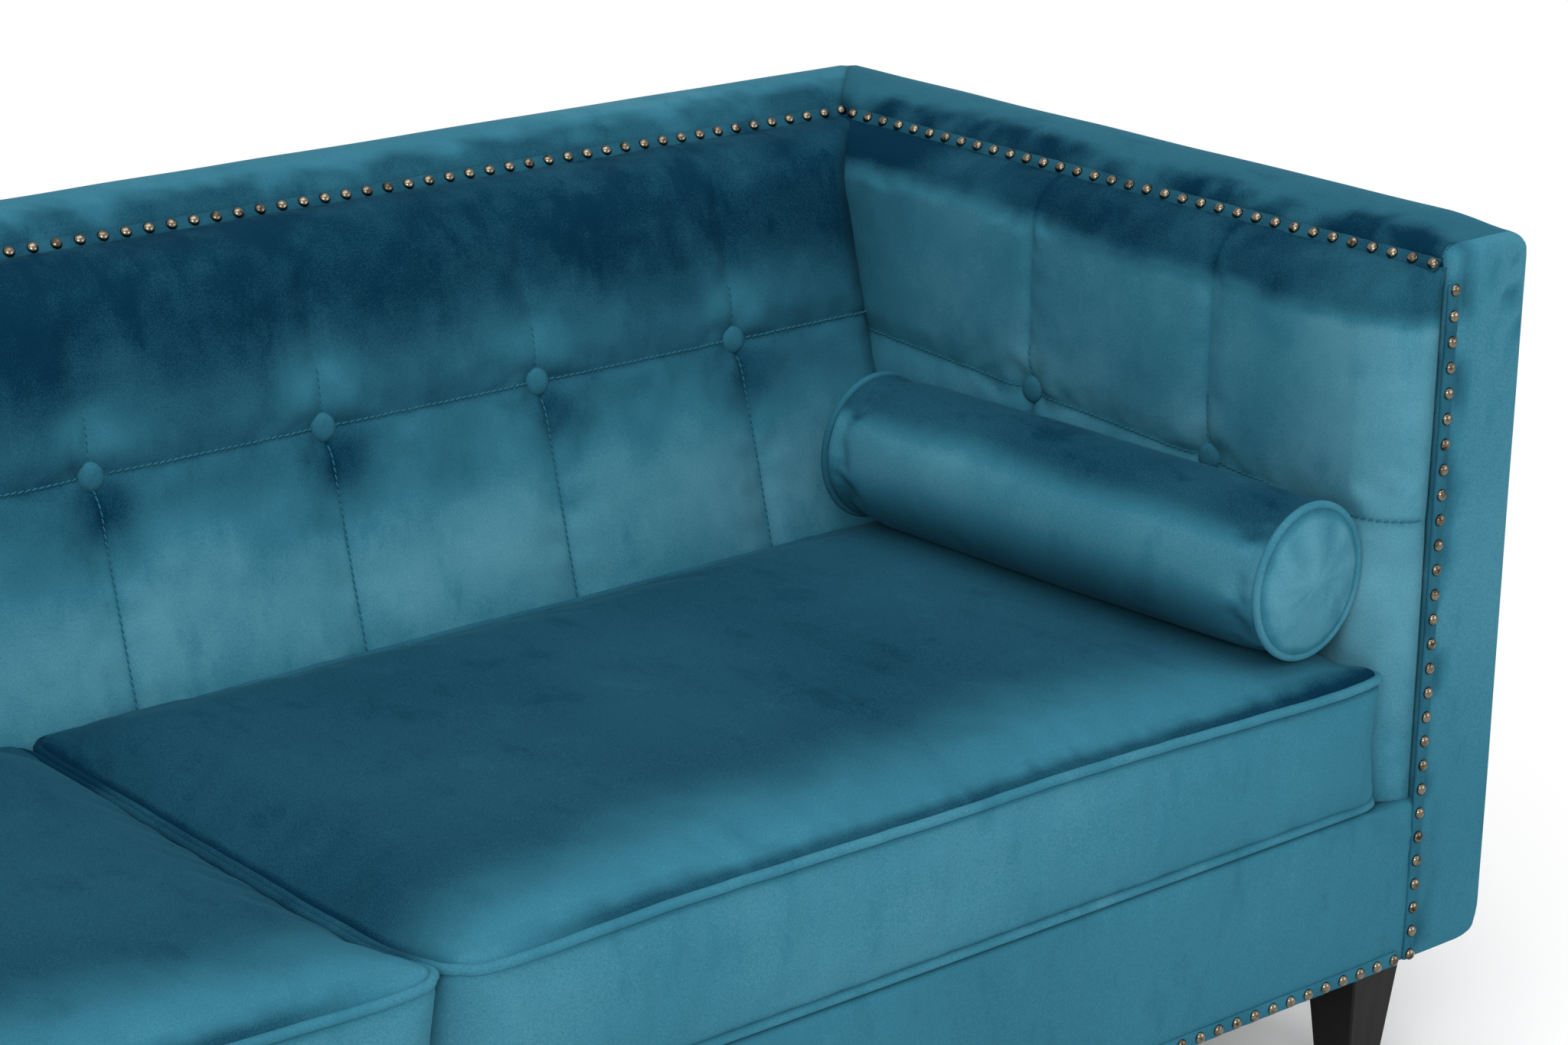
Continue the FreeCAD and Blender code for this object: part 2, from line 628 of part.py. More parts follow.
SEAM_DRAW = number("Sizes.seam_draw")
TUFT_DRAW = number("Sizes.tuft_draw")
DECK = number("Sizes.deck_height")
PAD_TOP = number(f"{BAND_BOTTOM} + Sizes.pad_rise")
PAD_LIP = number("Sizes.pad_lip")
RAKE_ANGLE = math.atan2(number("Sizes.back_rake"), number(RAKE_HEIGHT))
SWELL = number("Sizes.panel_swell")


# Places across a column, from seam to seam, and how far the pad has swelled there.
COLUMN = ((0, 0), (0.16, 0.62), (0.5, 1), (0.84, 0.62), (1, 0))


def columns(section, seams):
    """Fuse one loft per column; seams give the place and fullness of each side of the columns."""
    solids = []
    for (start, start_full), (end, end_full) in zip(seams, seams[1:]):
        wires = []
        for share, swell in COLUMN:
            ground = between(start_full, end_full, share)
            wires.append(section(between(start, end, share), between(ground, 1, swell)))
        solids.append(Part.makeLoft(wires, True, True))
    return solids[0].multiFuse(solids[1:])


def arm_seam(y):
    share = (y - number(FRONT_Y)) / number(f"{NAIL_Y} - {FRONT_Y}")
    return between(number("Sizes.arm_seam_front"), number("Sizes.arm_seam_back"), share)


def arm_section(y, fullness):
    """Closed section of the right arm pad; fullness is 0 in a seam and 1 at mid column."""
    board_x = number(ARM_BOARD_X)
    full = number("Sizes.arm_pad_thickness")
    draw = TUFT_DRAW * (1 - fullness)
    seam_z = arm_seam(y)

    def spot(thickness, z):
        return Vector(board_x - thickness, y, z)

    foot = spot(full - 2 * SWELL - draw, DECK)
    swell = spot(full - draw, between(DECK, seam_z, 0.5))
    seam = spot(full - SEAM_DRAW - draw, seam_z)
    shoulder = spot(full - SEAM_DRAW - SWELL - draw * 0.7, between(seam_z, PAD_TOP, 0.55))
    lip = spot(PAD_LIP, PAD_TOP)
    edges = [
        line(spot(0, DECK), foot),
        arc(foot, swell, seam),
        arc(seam, shoulder, lip),
        line(lip, spot(0, PAD_TOP)),
        line(spot(0, PAD_TOP), spot(0, DECK)),
    ]
    return Part.Wire(edges)


def ruled(outlines):
    """Loft through outlines of parallel sides, with plane faces and straight edges."""
    wires = [Part.makePolygon(outline + outline[:1]) for outline in outlines]
    faces = []
    for face in Part.makeLoft(wires, True, True).Faces:
        corners = [vertex.Point for vertex in face.OuterWire.OrderedVertexes]
        faces.append(Part.Face(Part.makePolygon(corners + corners[:1])))
    shell = Part.makeShell(faces)
    shell.sewShape()
    return Part.makeSolid(shell)


def turned(profile, sides):
    """Form around the Z axis through pairs of radius and height."""
    outlines = []
    for radius, height in profile:
        turns = [2 * math.pi * (index + 0.5) / sides for index in range(sides)]
        outlines.append([Vector(radius * math.cos(a), radius * math.sin(a), height) for a in turns])
    return ruled(outlines)


BUTTON_R = number("Sizes.button_radius")
BUTTON_FIT = number("Sizes.button_clearance")
BUTTON_SIDES = 12
BUTTON_PROFILE = [
    (BUTTON_R, 0),
    (BUTTON_R, number("Sizes.button_rim")),
    (number("Sizes.button_shoulder_radius"), number("Sizes.button_shoulder")),
    (number("Sizes.button_crown_radius"), number("Sizes.button_dome")),
]


def placed(shape, base, rotation):
    copy = shape.copy()
    copy.Placement = FreeCAD.Placement(base, rotation)
    return copy


BUTTON = turned(BUTTON_PROFILE, BUTTON_SIDES)
SOCKET = Part.makeCylinder(BUTTON_R + BUTTON_FIT, number("Sizes.back_pad_seat"))
SINK = number("Sizes.button_sink")


def with_buttons(pad_shape, seats, rotation):
    """The pad with its button seats cut, and the buttons in them."""
    for seat in seats:
        pad_shape = pad_shape.cut(placed(SOCKET, seat, rotation))
    buttons = Part.makeCompound([placed(BUTTON, seat, rotation) for seat in seats])
    return pad_shape, buttons


rear_button = number("Sizes.arm_button_back")
fore_button = rear_button - number("Sizes.arm_button_pitch")
pad_back = number(NAIL_Y)
pad_front = number(f"{FRONT_Y} - Sizes.facing_thickness / 2")
arm_seams = [(pad_back, 1), (rear_button, 0), (fore_button, 0), (pad_front, -1)]
inward = FreeCAD.Rotation(Vector(0, 1, 0), -90)
seat_depth = number("Sizes.arm_pad_thickness") - SEAM_DRAW - TUFT_DRAW - SINK
arm_seats = [
    Vector(number(ARM_BOARD_X) - seat_depth, y, arm_seam(y)) for y in (rear_button, fore_button)
]
arm_pad, arm_buttons = with_buttons(columns(arm_section, arm_seams), arm_seats, inward)
keep_pair(soft("arm_pad", arm_pad), "arm_pad")
keep_pair(soft("arm_buttons", arm_buttons), "arm_buttons")


def back_rear(z):
    """Rear of the back pad: on the webbing, upright above the top rail's underside."""
    fall = max(number(TOP_RAIL_BOTTOM) - z, 0) * math.tan(RAKE_ANGLE)
    return number(NAIL_Y) - fall - number("Sizes.webbing_thickness") / math.cos(RAKE_ANGLE)


def back_front(z):
    """Straight front of the back pad, before its panels swell."""
    share = (z - DECK) / (number(TOP_RAIL_BOTTOM) - DECK)
    return back_rear(z) - between(number("Sizes.back_pad_seat"), number("Sizes.back_pad_top"), share)


def back_section(x, fullness):
    """Closed section of the back pad; fullness is 0 in a seam and 1 at mid column."""
    draw = TUFT_DRAW * (1 - fullness)
    seam_z = number("Sizes.back_seam_height")
    rail_z = number(TOP_RAIL_BOTTOM)
    swell_z = between(DECK, seam_z, 0.5)
    shoulder_z = between(seam_z, PAD_TOP, 0.5)
    foot = Vector(x, back_front(DECK) + 2 * SWELL + draw, DECK)
    swell = Vector(x, back_front(swell_z) - SWELL + draw, swell_z)
    seam = Vector(x, back_front(seam_z) + SEAM_DRAW + draw, seam_z)
    shoulder = Vector(x, back_front(shoulder_z) - 2 * SWELL + draw * 0.8, shoulder_z)
    lip = Vector(x, back_rear(rail_z) - PAD_LIP, PAD_TOP)
    heel = Vector(x, back_rear(DECK), DECK)
    nape = Vector(x, back_rear(rail_z), rail_z)
    crest = Vector(x, back_rear(rail_z), PAD_TOP)
    edges = [
        line(heel, foot),
        arc(foot, swell, seam),
        arc(seam, shoulder, lip),
        line(lip, crest),
        line(crest, nape),
        line(nape, heel),
    ]
    return Part.Wire(edges)


pitch = number("Sizes.back_button_pitch")
pad_end = number(f"{ARM_PAD_X} - Sizes.soft_clearance")
button_x = [(index - 3.5) * pitch for index in range(8)]
back_seams = [(-pad_end, 0.4)] + [(x, 0) for x in button_x] + [(pad_end, 0.4)]
outward = FreeCAD.Rotation(Vector(1, 0, 0), 90 - math.degrees(RAKE_ANGLE))
seat_z = number("Sizes.back_seam_height")
seat_y = back_front(seat_z) + SEAM_DRAW + TUFT_DRAW + SINK
back_seats = [Vector(x, seat_y, seat_z) for x in button_x]
back_pad, back_buttons = with_buttons(columns(back_section, back_seams), back_seats, outward)
keep(soft("back_pad", back_pad))
keep(soft("back_buttons", back_buttons))


# Loose seat cushions: cover and core.

COVER = number("Sizes.cover_thickness")
CLEAR = number("Sizes.soft_clearance")
GAP = number("Sizes.cushion_gap")


# Crown of a cushion: share of the depth in from the edge, and share of the rise there.
CROWN = ((0, 0), (0.02, 0.24), (0.055, 0.5), (0.11, 0.74), (0.2, 0.92), (0.34, 1))
CORNER_STEPS = 4


def cushion(inset, floor_inset):
    """Right seat cushion, shrunk by inset: boxed sides, drawn in, and a crowned top."""
    bulge = number("Sizes.cushion_bulge")
    corner = number("Sizes.cushion_corner")
    low_x = GAP / 2
    high_x = number(ARM_PAD_X) - GAP
    low_y = number(f"Sizes.cushion_setback - {HALF_DEPTH}")
    bottom = DECK + CLEAR + floor_inset
    top = DECK + CLEAR + number("Sizes.cushion_height") - 1.5 * inset
    depth = back_front(top) - low_y
    slope_x = number("Sizes.cushion_draw") * 2 / (high_x - low_x)
    slope_y = number("Sizes.cushion_draw") * 2 / depth

    def outline(z, shrink, lift=0):
        """Corner points of one level: round corners, and between them sides drawn in."""
        inside = shrink + inset
        middle_x = between(low_x, high_x, 0.5)
        middle_y = between(low_y, back_front(z) - SWELL - GAP, 0.5)
        half_x = between(0, high_x - low_x, 0.5) - inside - corner
        half_y = middle_y - low_y - inside - corner
        points = []
        for turn in range(4):
            start = math.radians(90 * turn)
            along_x = round(math.cos(start) - math.sin(start))
            along_y = round(math.cos(start) + math.sin(start))
            for step in range(CORNER_STEPS + 1):
                angle = start + math.radians(90 * step / CORNER_STEPS)
                x = middle_x + half_x * along_x + corner * math.cos(angle)
                y = middle_y + half_y * along_y + corner * math.sin(angle)
                points.append(Vector(x, y, z + lift))
            out_x = -math.sin(start) * (half_x + corner - slope_y * half_y)
            out_y = math.cos(start) * (half_y + corner - slope_x * half_x)
            points.append(Vector(middle_x + out_x, middle_y + out_y, z + lift))
        return points

    waist = between(bottom, top, 0.5)
    levels = [outline(bottom, bulge), outline(waist, 0)]
    for reach, rise in CROWN:
        levels.append(outline(top, bulge + reach * depth, rise * number("Sizes.cushion_crown")))
    return ruled(levels)


cushion_outside = cushion(0, 0)
cushion_cover = cushion_outside.cut(cushion(COVER, COVER))
cushion_core = cushion(COVER + CLEAR, COVER)
keep_pair(soft("seat_cushion_cover", cushion_cover), "seat_cushion_cover")
keep_pair(soft("seat_cushion_core", cushion_core), "seat_cushion_core")


# Bolsters: cover and core, laid on the cushion.

# Half a bolster: share of its half length, and share of its fullness there.
BARREL = ((1, 0), (0.7, 0.65), (0, 1))
BOLSTER_SIDES = 24


def bolster(inset):
    """Barrel with full ends around the Z axis."""
    half = number("Sizes.bolster_length") / 2 - inset
    middle = number("Sizes.bolster_radius") - inset
    end = number("Sizes.bolster_end_radius") - inset
    dome = number("Sizes.bolster_end_dome")
    side = [(end * 0.5, half + dome), (end * 0.8, half + dome * 0.7)]
    side += [(between(end, middle, full), half * share) for share, full in BARREL]
    profile = side + [(radius, -height) for radius, height in reversed(side[:-1])]
    return turned(profile, BOLSTER_SIDES)


yaw = math.radians(number("Sizes.bolster_yaw"))
side_reach = (
    number("Sizes.bolster_length") / 2 * math.sin(yaw)
    + number("Sizes.bolster_radius") * math.cos(yaw)
    + GAP
)
bolster_x = number(ARM_PAD_X) - side_reach
bolster_y = -number("Sizes.bolster_middle")
lying = FreeCAD.Rotation(Vector(0, 0, 1), number("Sizes.bolster_yaw"))
lying = lying.multiply(FreeCAD.Rotation(Vector(1, 0, 0), 90))
bolster_outside = bolster(0)
bolster_z = cushion_outside.BoundBox.ZMax + number("Sizes.bolster_radius") + GAP
for step in range(60):
    trial = placed(bolster_outside, Vector(bolster_x, bolster_y, bolster_z), lying)
    room = trial.distToShape(cushion_outside)[0] - CLEAR
    bolster_z -= room
    if room < CLEAR / 100:
        break
spot = Vector(bolster_x, bolster_y, bolster_z)
bolster_cover = bolster_outside.cut(bolster(COVER))
keep_pair(soft("bolster_cover", placed(bolster_cover, spot, lying)), "bolster_cover")
keep_pair(soft("bolster_core", placed(bolster(COVER + CLEAR), spot, lying)), "bolster_core")


# Check every piece and write it.

doc.recompute()
for item in doc.Objects:
    if "Invalid" in item.State or "Error" in item.State:
        raise RuntimeError(f"{item.Label} did not compute: {item.State}")
os.makedirs("parts", exist_ok=True)
for piece in pieces:
    shape = piece.Shape
    if shape.isNull() or not shape.isValid() or not shape.Solids:
        raise RuntimeError(f"{piece.Label} has no sound solid")
    shape.exportStep(f"parts/{piece.Label}.step")
    box = shape.BoundBox
    low = (round(box.XMin, 1), round(box.YMin, 1), round(box.ZMin, 1))
    high = (round(box.XMax, 1), round(box.YMax, 1), round(box.ZMax, 1))
    print(piece.Label, len(shape.Solids), low, high)
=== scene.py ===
# %% [markdown]
# # A level-armed sofa in teal velvet
#
# The CAD model fixes every place and size. This lesson dresses it: velvet covers with seams,
# buttons and piping, brass nail heads, black legs, and the studio that they are seen in.

import json
import math
from collections import namedtuple

import bmesh
import bpy
from mathutils import Matrix, Vector, noise


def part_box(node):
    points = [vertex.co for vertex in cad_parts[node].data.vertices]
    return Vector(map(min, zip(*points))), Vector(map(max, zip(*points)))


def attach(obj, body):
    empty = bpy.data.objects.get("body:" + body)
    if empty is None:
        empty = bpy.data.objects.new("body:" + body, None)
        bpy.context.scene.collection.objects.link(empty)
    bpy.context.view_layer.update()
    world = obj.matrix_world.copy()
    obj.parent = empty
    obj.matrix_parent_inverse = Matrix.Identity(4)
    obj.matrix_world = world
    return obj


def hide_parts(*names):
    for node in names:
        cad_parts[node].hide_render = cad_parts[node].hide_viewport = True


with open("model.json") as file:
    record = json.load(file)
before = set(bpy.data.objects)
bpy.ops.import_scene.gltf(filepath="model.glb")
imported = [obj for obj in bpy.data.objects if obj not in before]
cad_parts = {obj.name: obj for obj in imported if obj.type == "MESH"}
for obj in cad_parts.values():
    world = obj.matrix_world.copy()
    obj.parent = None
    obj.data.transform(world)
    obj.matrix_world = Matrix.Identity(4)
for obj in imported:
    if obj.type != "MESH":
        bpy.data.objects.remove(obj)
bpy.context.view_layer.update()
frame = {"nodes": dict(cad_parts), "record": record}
scene = bpy.context.scene
scene.view_settings.view_transform = "Standard"

# %% [markdown]
# ## Camera
#
# A camera that copies a photograph needs its place, its three directions and its lens. Lines that
# are parallel on the sofa (nail rows, band edges, the arm front) gave all of them, so no guess by
# eye is needed: the three rows below are the picture's right, its down and the way it looks.

# %% Camera
EYE = Vector((-1.324, -2.291, 1.496))
PICTURE_RIGHT = Vector((0.76303, -0.64625, 0.01204))
PICTURE_DOWN = Vector((-0.19457, -0.24741, -0.94918))
AHEAD = Vector((0.61639, 0.7219, -0.31452))
FOCAL_LENGTH = 87.4
SENSOR_WIDTH = 36

lens = bpy.data.cameras.new("studio_view")
lens.lens = FOCAL_LENGTH
lens.sensor_width = SENSOR_WIDTH
camera = bpy.data.objects.new("studio_view", lens)
turn = Matrix((PICTURE_RIGHT, -PICTURE_DOWN, -AHEAD)).transposed()
camera.matrix_world = Matrix.Translation(EYE) @ turn.to_4x4()
scene.collection.objects.link(camera)
scene.camera = camera
print("lens", lens.lens, "mm, camera at", tuple(EYE))

# %% [markdown]
# ## Tools for shader nodes
#
# The background, the floor and every finish are small networks of nodes. Wired one link at a time
# they would fill pages, so a few functions make a node, feed its inputs and hand on its output. A
# network then reads like a formula.

# %% Node tools
def feed(tree, node, inputs):
    """Gives each input of a node a value, or a link from another node's output."""
    for name, value in inputs.items():
        if isinstance(value, bpy.types.NodeSocket):
            tree.links.new(value, node.inputs[name])
        else:
            node.inputs[name].default_value = value
    return node


def add_node(tree, kind, inputs, **settings):
    """Shader node with its settings made and its inputs fed."""
    node = tree.nodes.new("ShaderNode" + kind)
    for name, value in settings.items():
        setattr(node, name, value)
    return feed(tree, node, inputs)


def own_place(tree):
    """Place of a point in its own object, which every pattern holds on to."""
    return add_node(tree, "TexCoord", {}).outputs["Object"]


def add_noise(tree, vector, scale, detail, roughness=0.5):
    inputs = {"Vector": vector, "Scale": scale, "Detail": detail, "Roughness": roughness}
    return add_node(tree, "TexNoise", inputs).outputs["Fac"]


def add_math(tree, kind, first, second, clamp=False):
    node = add_node(tree, "Math", {0: first, 1: second}, operation=kind, use_clamp=clamp)
    return node.outputs[0]


def add_range(tree, value, low, high, to_low, to_high, smooth=True):
    """Value carried from one range to another."""
    inputs = {"Value": value, "From Min": low, "From Max": high, "To Min": to_low, "To Max": to_high}
    course = "SMOOTHSTEP" if smooth else "LINEAR"
    return add_node(tree, "MapRange", inputs, interpolation_type=course).outputs["Result"]


def add_mix(tree, share, first, second):
    """Colour between two others."""
    inputs = {"Factor": share, "A": first, "B": second}
    return add_node(tree, "Mix", inputs, data_type="RGBA").outputs["Result"]


print("tools for shader nodes")

# %% Material tools
def srgb(red, green, blue):
    """Linear colour of a picture's 0 to 255 values."""
    def linear(value):
        value /= 255
        return value / 12.92 if value <= 0.04045 else ((value + 0.055) / 1.055) ** 2.4

    return (linear(red), linear(green), linear(blue), 1)


def principled(name):
    """New node material, its network and its shader."""
    material = bpy.data.materials.new(name)
    material.use_nodes = True
    return material, material.node_tree, material.node_tree.nodes["Principled BSDF"]


def add_bump(tree, height, strength, distance):
    inputs = {"Height": height, "Strength": strength, "Distance": distance}
    return add_node(tree, "Bump", inputs).outputs["Normal"]


print("tools for materials")

# %% [markdown]
# ## Studio
#
# Velvet shows its pile best in broad, soft light. One large lamp stands to the left of the camera,
# a weaker one to the right, and a third hangs overhead. The background is plain white where the
# camera or a mirror-like surface sees it, and lights the sofa with less than half that strength.

# %% Lamps and world
def soft_lamp(name, place, target, width, height, watts):
    """Rectangular lamp that faces a point."""
    light = bpy.data.lights.new(name, "AREA")
    light.shape = "RECTANGLE"
    light.size = width
    light.size_y = height
    light.energy = watts
    lamp = bpy.data.objects.new(name, light)
    facing = (Vector(target) - Vector(place)).to_track_quat("-Z", "Y")
    lamp.matrix_world = Matrix.Translation(place) @ facing.to_matrix().to_4x4()
    scene.collection.objects.link(lamp)
    return lamp


soft_lamp("key_lamp", (-2.6, -3.2, 2.7), (0.3, 0.0, 0.45), 2.6, 2.2, 150)
soft_lamp("fill_lamp", (2.6, -3.0, 1.7), (0.4, 0.0, 0.4), 2.4, 2.0, 45)
soft_lamp("top_lamp", (0.2, -0.3, 3.2), (0.2, 0.0, 0.4), 3.2, 1.8, 60)

WHITE_STRENGTH = 1.0
FILL_STRENGTH = 0.42
world = bpy.data.worlds.new("studio")
scene.world = world
world.use_nodes = True
tree = world.node_tree
tree.nodes.clear()
rays = add_node(tree, "LightPath", {}).outputs
seen = add_math(tree, "ADD", rays["Is Camera Ray"], rays["Is Glossy Ray"])
seen = add_math(tree, "ADD", seen, rays["Is Transmission Ray"], clamp=True)
strength = add_range(tree, seen, 0, 1, FILL_STRENGTH, WHITE_STRENGTH, smooth=False)
backdrop = add_node(tree, "Background", {"Color": (1, 1, 1, 1), "Strength": strength})
add_node(tree, "OutputWorld", {"Surface": backdrop.outputs[0]})
print("lamps:", [o.name for o in scene.objects if o.type == "LIGHT"])

# %% [markdown]
# ## Floor
#
# A pale floor carries the sofa's shadow. Towards its rim it turns into plain white, so that no
# horizon line shows against the background.

# %% Floor
FLOOR_HALF = 9
FADE_START = 1.12
FADE_END = 1.75


def to_mesh(name, bm):
    """Mesh from a bmesh, which is freed."""
    mesh = bpy.data.meshes.new(name)
    bm.to_mesh(mesh)
    bm.free()
    return mesh


bm = bmesh.new()
bmesh.ops.create_grid(bm, x_segments=8, y_segments=8, size=FLOOR_HALF)
floor = bpy.data.objects.new("floor", to_mesh("floor", bm))
scene.collection.objects.link(floor)

paint, tree, shader = principled("pale_floor")
feed(tree, shader, {"Base Color": (0.95, 0.95, 0.95, 1), "Roughness": 0.9, "Specular IOR Level": 0.1})
white = add_node(tree, "Emission", {"Strength": WHITE_STRENGTH})
away = add_node(tree, "VectorMath", {0: own_place(tree)}, operation="LENGTH").outputs["Value"]
fade = add_range(tree, away, FADE_START, FADE_END, 0, 1, smooth=False)
rays = add_node(tree, "LightPath", {}).outputs
seen = add_math(tree, "MULTIPLY", fade, rays["Is Camera Ray"])
blend = add_node(tree, "MixShader", {"Fac": seen, 1: shader.outputs[0], 2: white.outputs[0]})
feed(tree, tree.nodes["Material Output"], {"Surface": blend.outputs[0]})
floor.data.materials.append(paint)
print("floor", floor.dimensions[:])

# %% [markdown]
# ## Velvet
#
# Velvet is a short pile that lies one way. Where a hand has brushed it, or where the cover bends,
# it shows lighter or darker. Three things make it here: a nap value that each piece stores on its
# own points, which holds how the pile lies there and also painted light and shade (lighter or
# darker by which way a surface faces, and painted shade in seams, creases, valleys and under
# buttons), brush marks and clouds from noise, and the shader's sheen. The noise is one node group,
# so every velvet finish shares it.

# %% Velvet pile group, which also carries painted light and shade
FLOAT = "NodeSocketFloat"
COLOUR = "NodeSocketColor"
LIT_AT = 0.55
CLOUD_SCALE = 4.5
CLOUD_TONE = 0.16
STROKE_SCALE = 26
SMUDGE_TONE = -0.3
WIPE_TONE = 0.16
GRAIN_SCALE = 900
FLECK_TONE = 0.07


def new_group(name, takes, gives):
    """Empty shader group with named sockets."""
    group = bpy.data.node_groups.new(name, "ShaderNodeTree")
    for way, sockets in (("INPUT", takes), ("OUTPUT", gives)):
        for socket, kind in sockets.items():
            group.interface.new_socket(socket, in_out=way, socket_type=kind)
    return group, group.nodes.new("NodeGroupInput").outputs, group.nodes.new("NodeGroupOutput")


pile_and_shade, taken, given = new_group(
    "velvet_pile_and_shade",
    {"Nap and shade": FLOAT, "Deep": COLOUR, "Lit": COLOUR, "Bright": COLOUR, "Marks": FLOAT},
    {"Colour": COLOUR, "Roughness": FLOAT, "Height": FLOAT},
)
place = own_place(pile_and_shade)
brushed = add_node(pile_and_shade, "Mapping", {"Vector": place, "Scale": (1.0, 0.55, 0.45)}).outputs["Vector"]
cloudy = add_noise(pile_and_shade, place, CLOUD_SCALE, 3)
clouds = add_range(pile_and_shade, cloudy, 0.3, 0.7, -CLOUD_TONE, CLOUD_TONE, smooth=False)
strokes = add_noise(pile_and_shade, brushed, STROKE_SCALE, 6, 0.62)
smudges = add_range(pile_and_shade, strokes, 0.52, 0.72, 0, SMUDGE_TONE)
wipes = add_range(pile_and_shade, strokes, 0.3, 0.44, WIPE_TONE, 0)
grain = add_noise(pile_and_shade, place, GRAIN_SCALE, 2)
flecks = add_range(pile_and_shade, grain, 0.3, 0.7, -FLECK_TONE, FLECK_TONE, smooth=False)
marks = add_math(pile_and_shade, "ADD", add_math(pile_and_shade, "ADD", smudges, wipes), clouds)
marks = add_math(pile_and_shade, "MULTIPLY", marks, taken["Marks"])
shade = add_math(pile_and_shade, "ADD", add_math(pile_and_shade, "ADD", marks, flecks), taken["Nap and shade"])
shade = add_math(pile_and_shade, "ADD", shade, 0.5, clamp=True)
low_share = add_range(pile_and_shade, shade, 0, LIT_AT, 0, 1, smooth=False)
high_share = add_range(pile_and_shade, shade, LIT_AT, 1, 0, 1, smooth=False)
low_tone = add_mix(pile_and_shade, low_share, taken["Deep"], taken["Lit"])
drift = add_math(pile_and_shade, "MULTIPLY", strokes, 0.6)
feed(pile_and_shade, given, {
    "Colour": add_mix(pile_and_shade, high_share, low_tone, taken["Bright"]),
    "Roughness": add_range(pile_and_shade, shade, 0, 1, 0.95, 0.72, smooth=False),
    "Height": add_math(pile_and_shade, "ADD", add_math(pile_and_shade, "MULTIPLY", grain, 0.25), drift),
})
print("velvet pile group:", len(pile_and_shade.nodes), "nodes")

# %% Velvet finish
TEALS = {"Deep": srgb(1, 38, 57), "Lit": srgb(44, 102, 121), "Bright": srgb(92, 146, 162)}


def velvet_finish(name, marks):
    """Teal velvet whose brush marks have a given strength."""
    material, tree, shader = principled(name)
    # The stored value holds how the pile lies, together with painted light and shade.
    nap_and_shade = add_node(tree, "Attribute", {}, attribute_name="nap_and_shade").outputs["Fac"]
    cloth = add_node(tree, "Group", {"Nap and shade": nap_and_shade, "Marks": marks, **TEALS}, node_tree=pile_and_shade).outputs
    feed(tree, shader, {
        "Base Color": cloth["Colour"],
        "Roughness": cloth["Roughness"],
        "Normal": add_bump(tree, cloth["Height"], 0.35, 0.0012),
        "Specular IOR Level": 0.05,
        "Sheen Weight": 0.09,
        "Sheen Roughness": 0.3,
        "Sheen Tint": srgb(96, 170, 190),
    })
    return material


VELVET = velvet_finish("teal_velvet", 0.27)
SEAT_VELVET = velvet_finish("teal_velvet_seat", 0.17)
print("finishes:", VELVET.name, SEAT_VELVET.name)

# %% [markdown]
# ## Metal, wood and hidden cloth
#
# The nails are brass that has gone dark in its hollows, the legs are wood under black stain, and
# the rest is seen only from below or behind: raw timber, steel plates, webbing and black cloth.

# %% Brass and steel
def metal_finish(name, bright, dark, roughness, scale):
    """Metal with patches that are darker and duller."""
    material, tree, shader = principled(name)
    patches = add_noise(tree, own_place(tree), scale, 4)
    darker = add_range(tree, patches, 0.42, 0.7, 0, 1)
    feed(tree, shader, {
        "Base Color": add_mix(tree, darker, srgb(*bright), srgb(*dark)),
        "Roughness": add_range(tree, patches, 0.3, 0.7, roughness, roughness + 0.18),
        "Metallic": 1.0,
    })
    return material


BRASS = metal_finish("antique_brass", (112, 104, 90), (46, 40, 33), 0.10, 160)
STEEL = metal_finish("plated_steel", (178, 180, 182), (120, 122, 126), 0.34, 60)
print("finishes:", BRASS.name, STEEL.name)

# %% Wood, plastic and hidden cloth
EVEN = (1, 1, 1)


def plain_finish(name, first, second, roughness, scale, stretch, bump):
    """Two-tone grain or weave for the pieces that few people see."""
    material, tree, shader = principled(name)
    mapping = add_node(tree, "Mapping", {"Vector": own_place(tree), "Scale": stretch})
    tone = add_noise(tree, mapping.outputs["Vector"], scale, 4, 0.6)
    share = add_range(tree, tone, 0.3, 0.7, 0, 1, smooth=False)
    feed(tree, shader, {
        "Base Color": add_mix(tree, share, srgb(*first), srgb(*second)),
        "Roughness": add_range(tree, tone, 0.3, 0.7, roughness, roughness + 0.12),
        "Normal": add_bump(tree, tone, 0.4, bump),
        "Specular IOR Level": 0.18,
    })
    return material


BLACK_WOOD = plain_finish("black_stained_wood", (7, 6, 7), (13, 12, 12), 0.5, 90, (1, 1, 0.06), 0.0004)
TIMBER = plain_finish("raw_timber", (186, 152, 108), (156, 118, 78), 0.7, 40, (0.08, 1, 1), 0.0004)
NYLON = plain_finish("black_nylon", (24, 24, 25), (34, 34, 35), 0.45, 200, EVEN, 0.0002)
WEBBING = plain_finish("jute_webbing", (150, 124, 90), (112, 88, 60), 0.85, 500, (1, 0.4, 1), 0.0006)
DECK_CLOTH = plain_finish("deck_cloth", (20, 62, 78), (14, 48, 64), 0.9, 700, EVEN, 0.0004)
DUST_CLOTH = plain_finish("dust_cloth", (22, 22, 23), (32, 32, 33), 0.95, 900, EVEN, 0.0003)

FINISH_OF_SLOT = {
    "timber": TIMBER,
    "black_wood": BLACK_WOOD,
    "steel": STEEL,
    "nylon": NYLON,
    "webbing": WEBBING,
    "deck_cloth": DECK_CLOTH,
    "dust_cloth": DUST_CLOTH,
    "foam": DECK_CLOTH,
    "velvet": VELVET,
}
for entry in frame["record"]["subparts"]:
    node = frame["nodes"][entry["node"]]
    node.data.materials.clear()
    node.data.materials.append(FINISH_OF_SLOT[entry["material_slot"]])
print("finishes on", len(frame["nodes"]), "CAD nodes")

# %% [markdown]
# ## Places that many pieces share
#
# Every place below is read from the CAD nodes, so the covers land where the frame is. The nail
# line is the inner edge of the padded band, and most seams are measured from it.

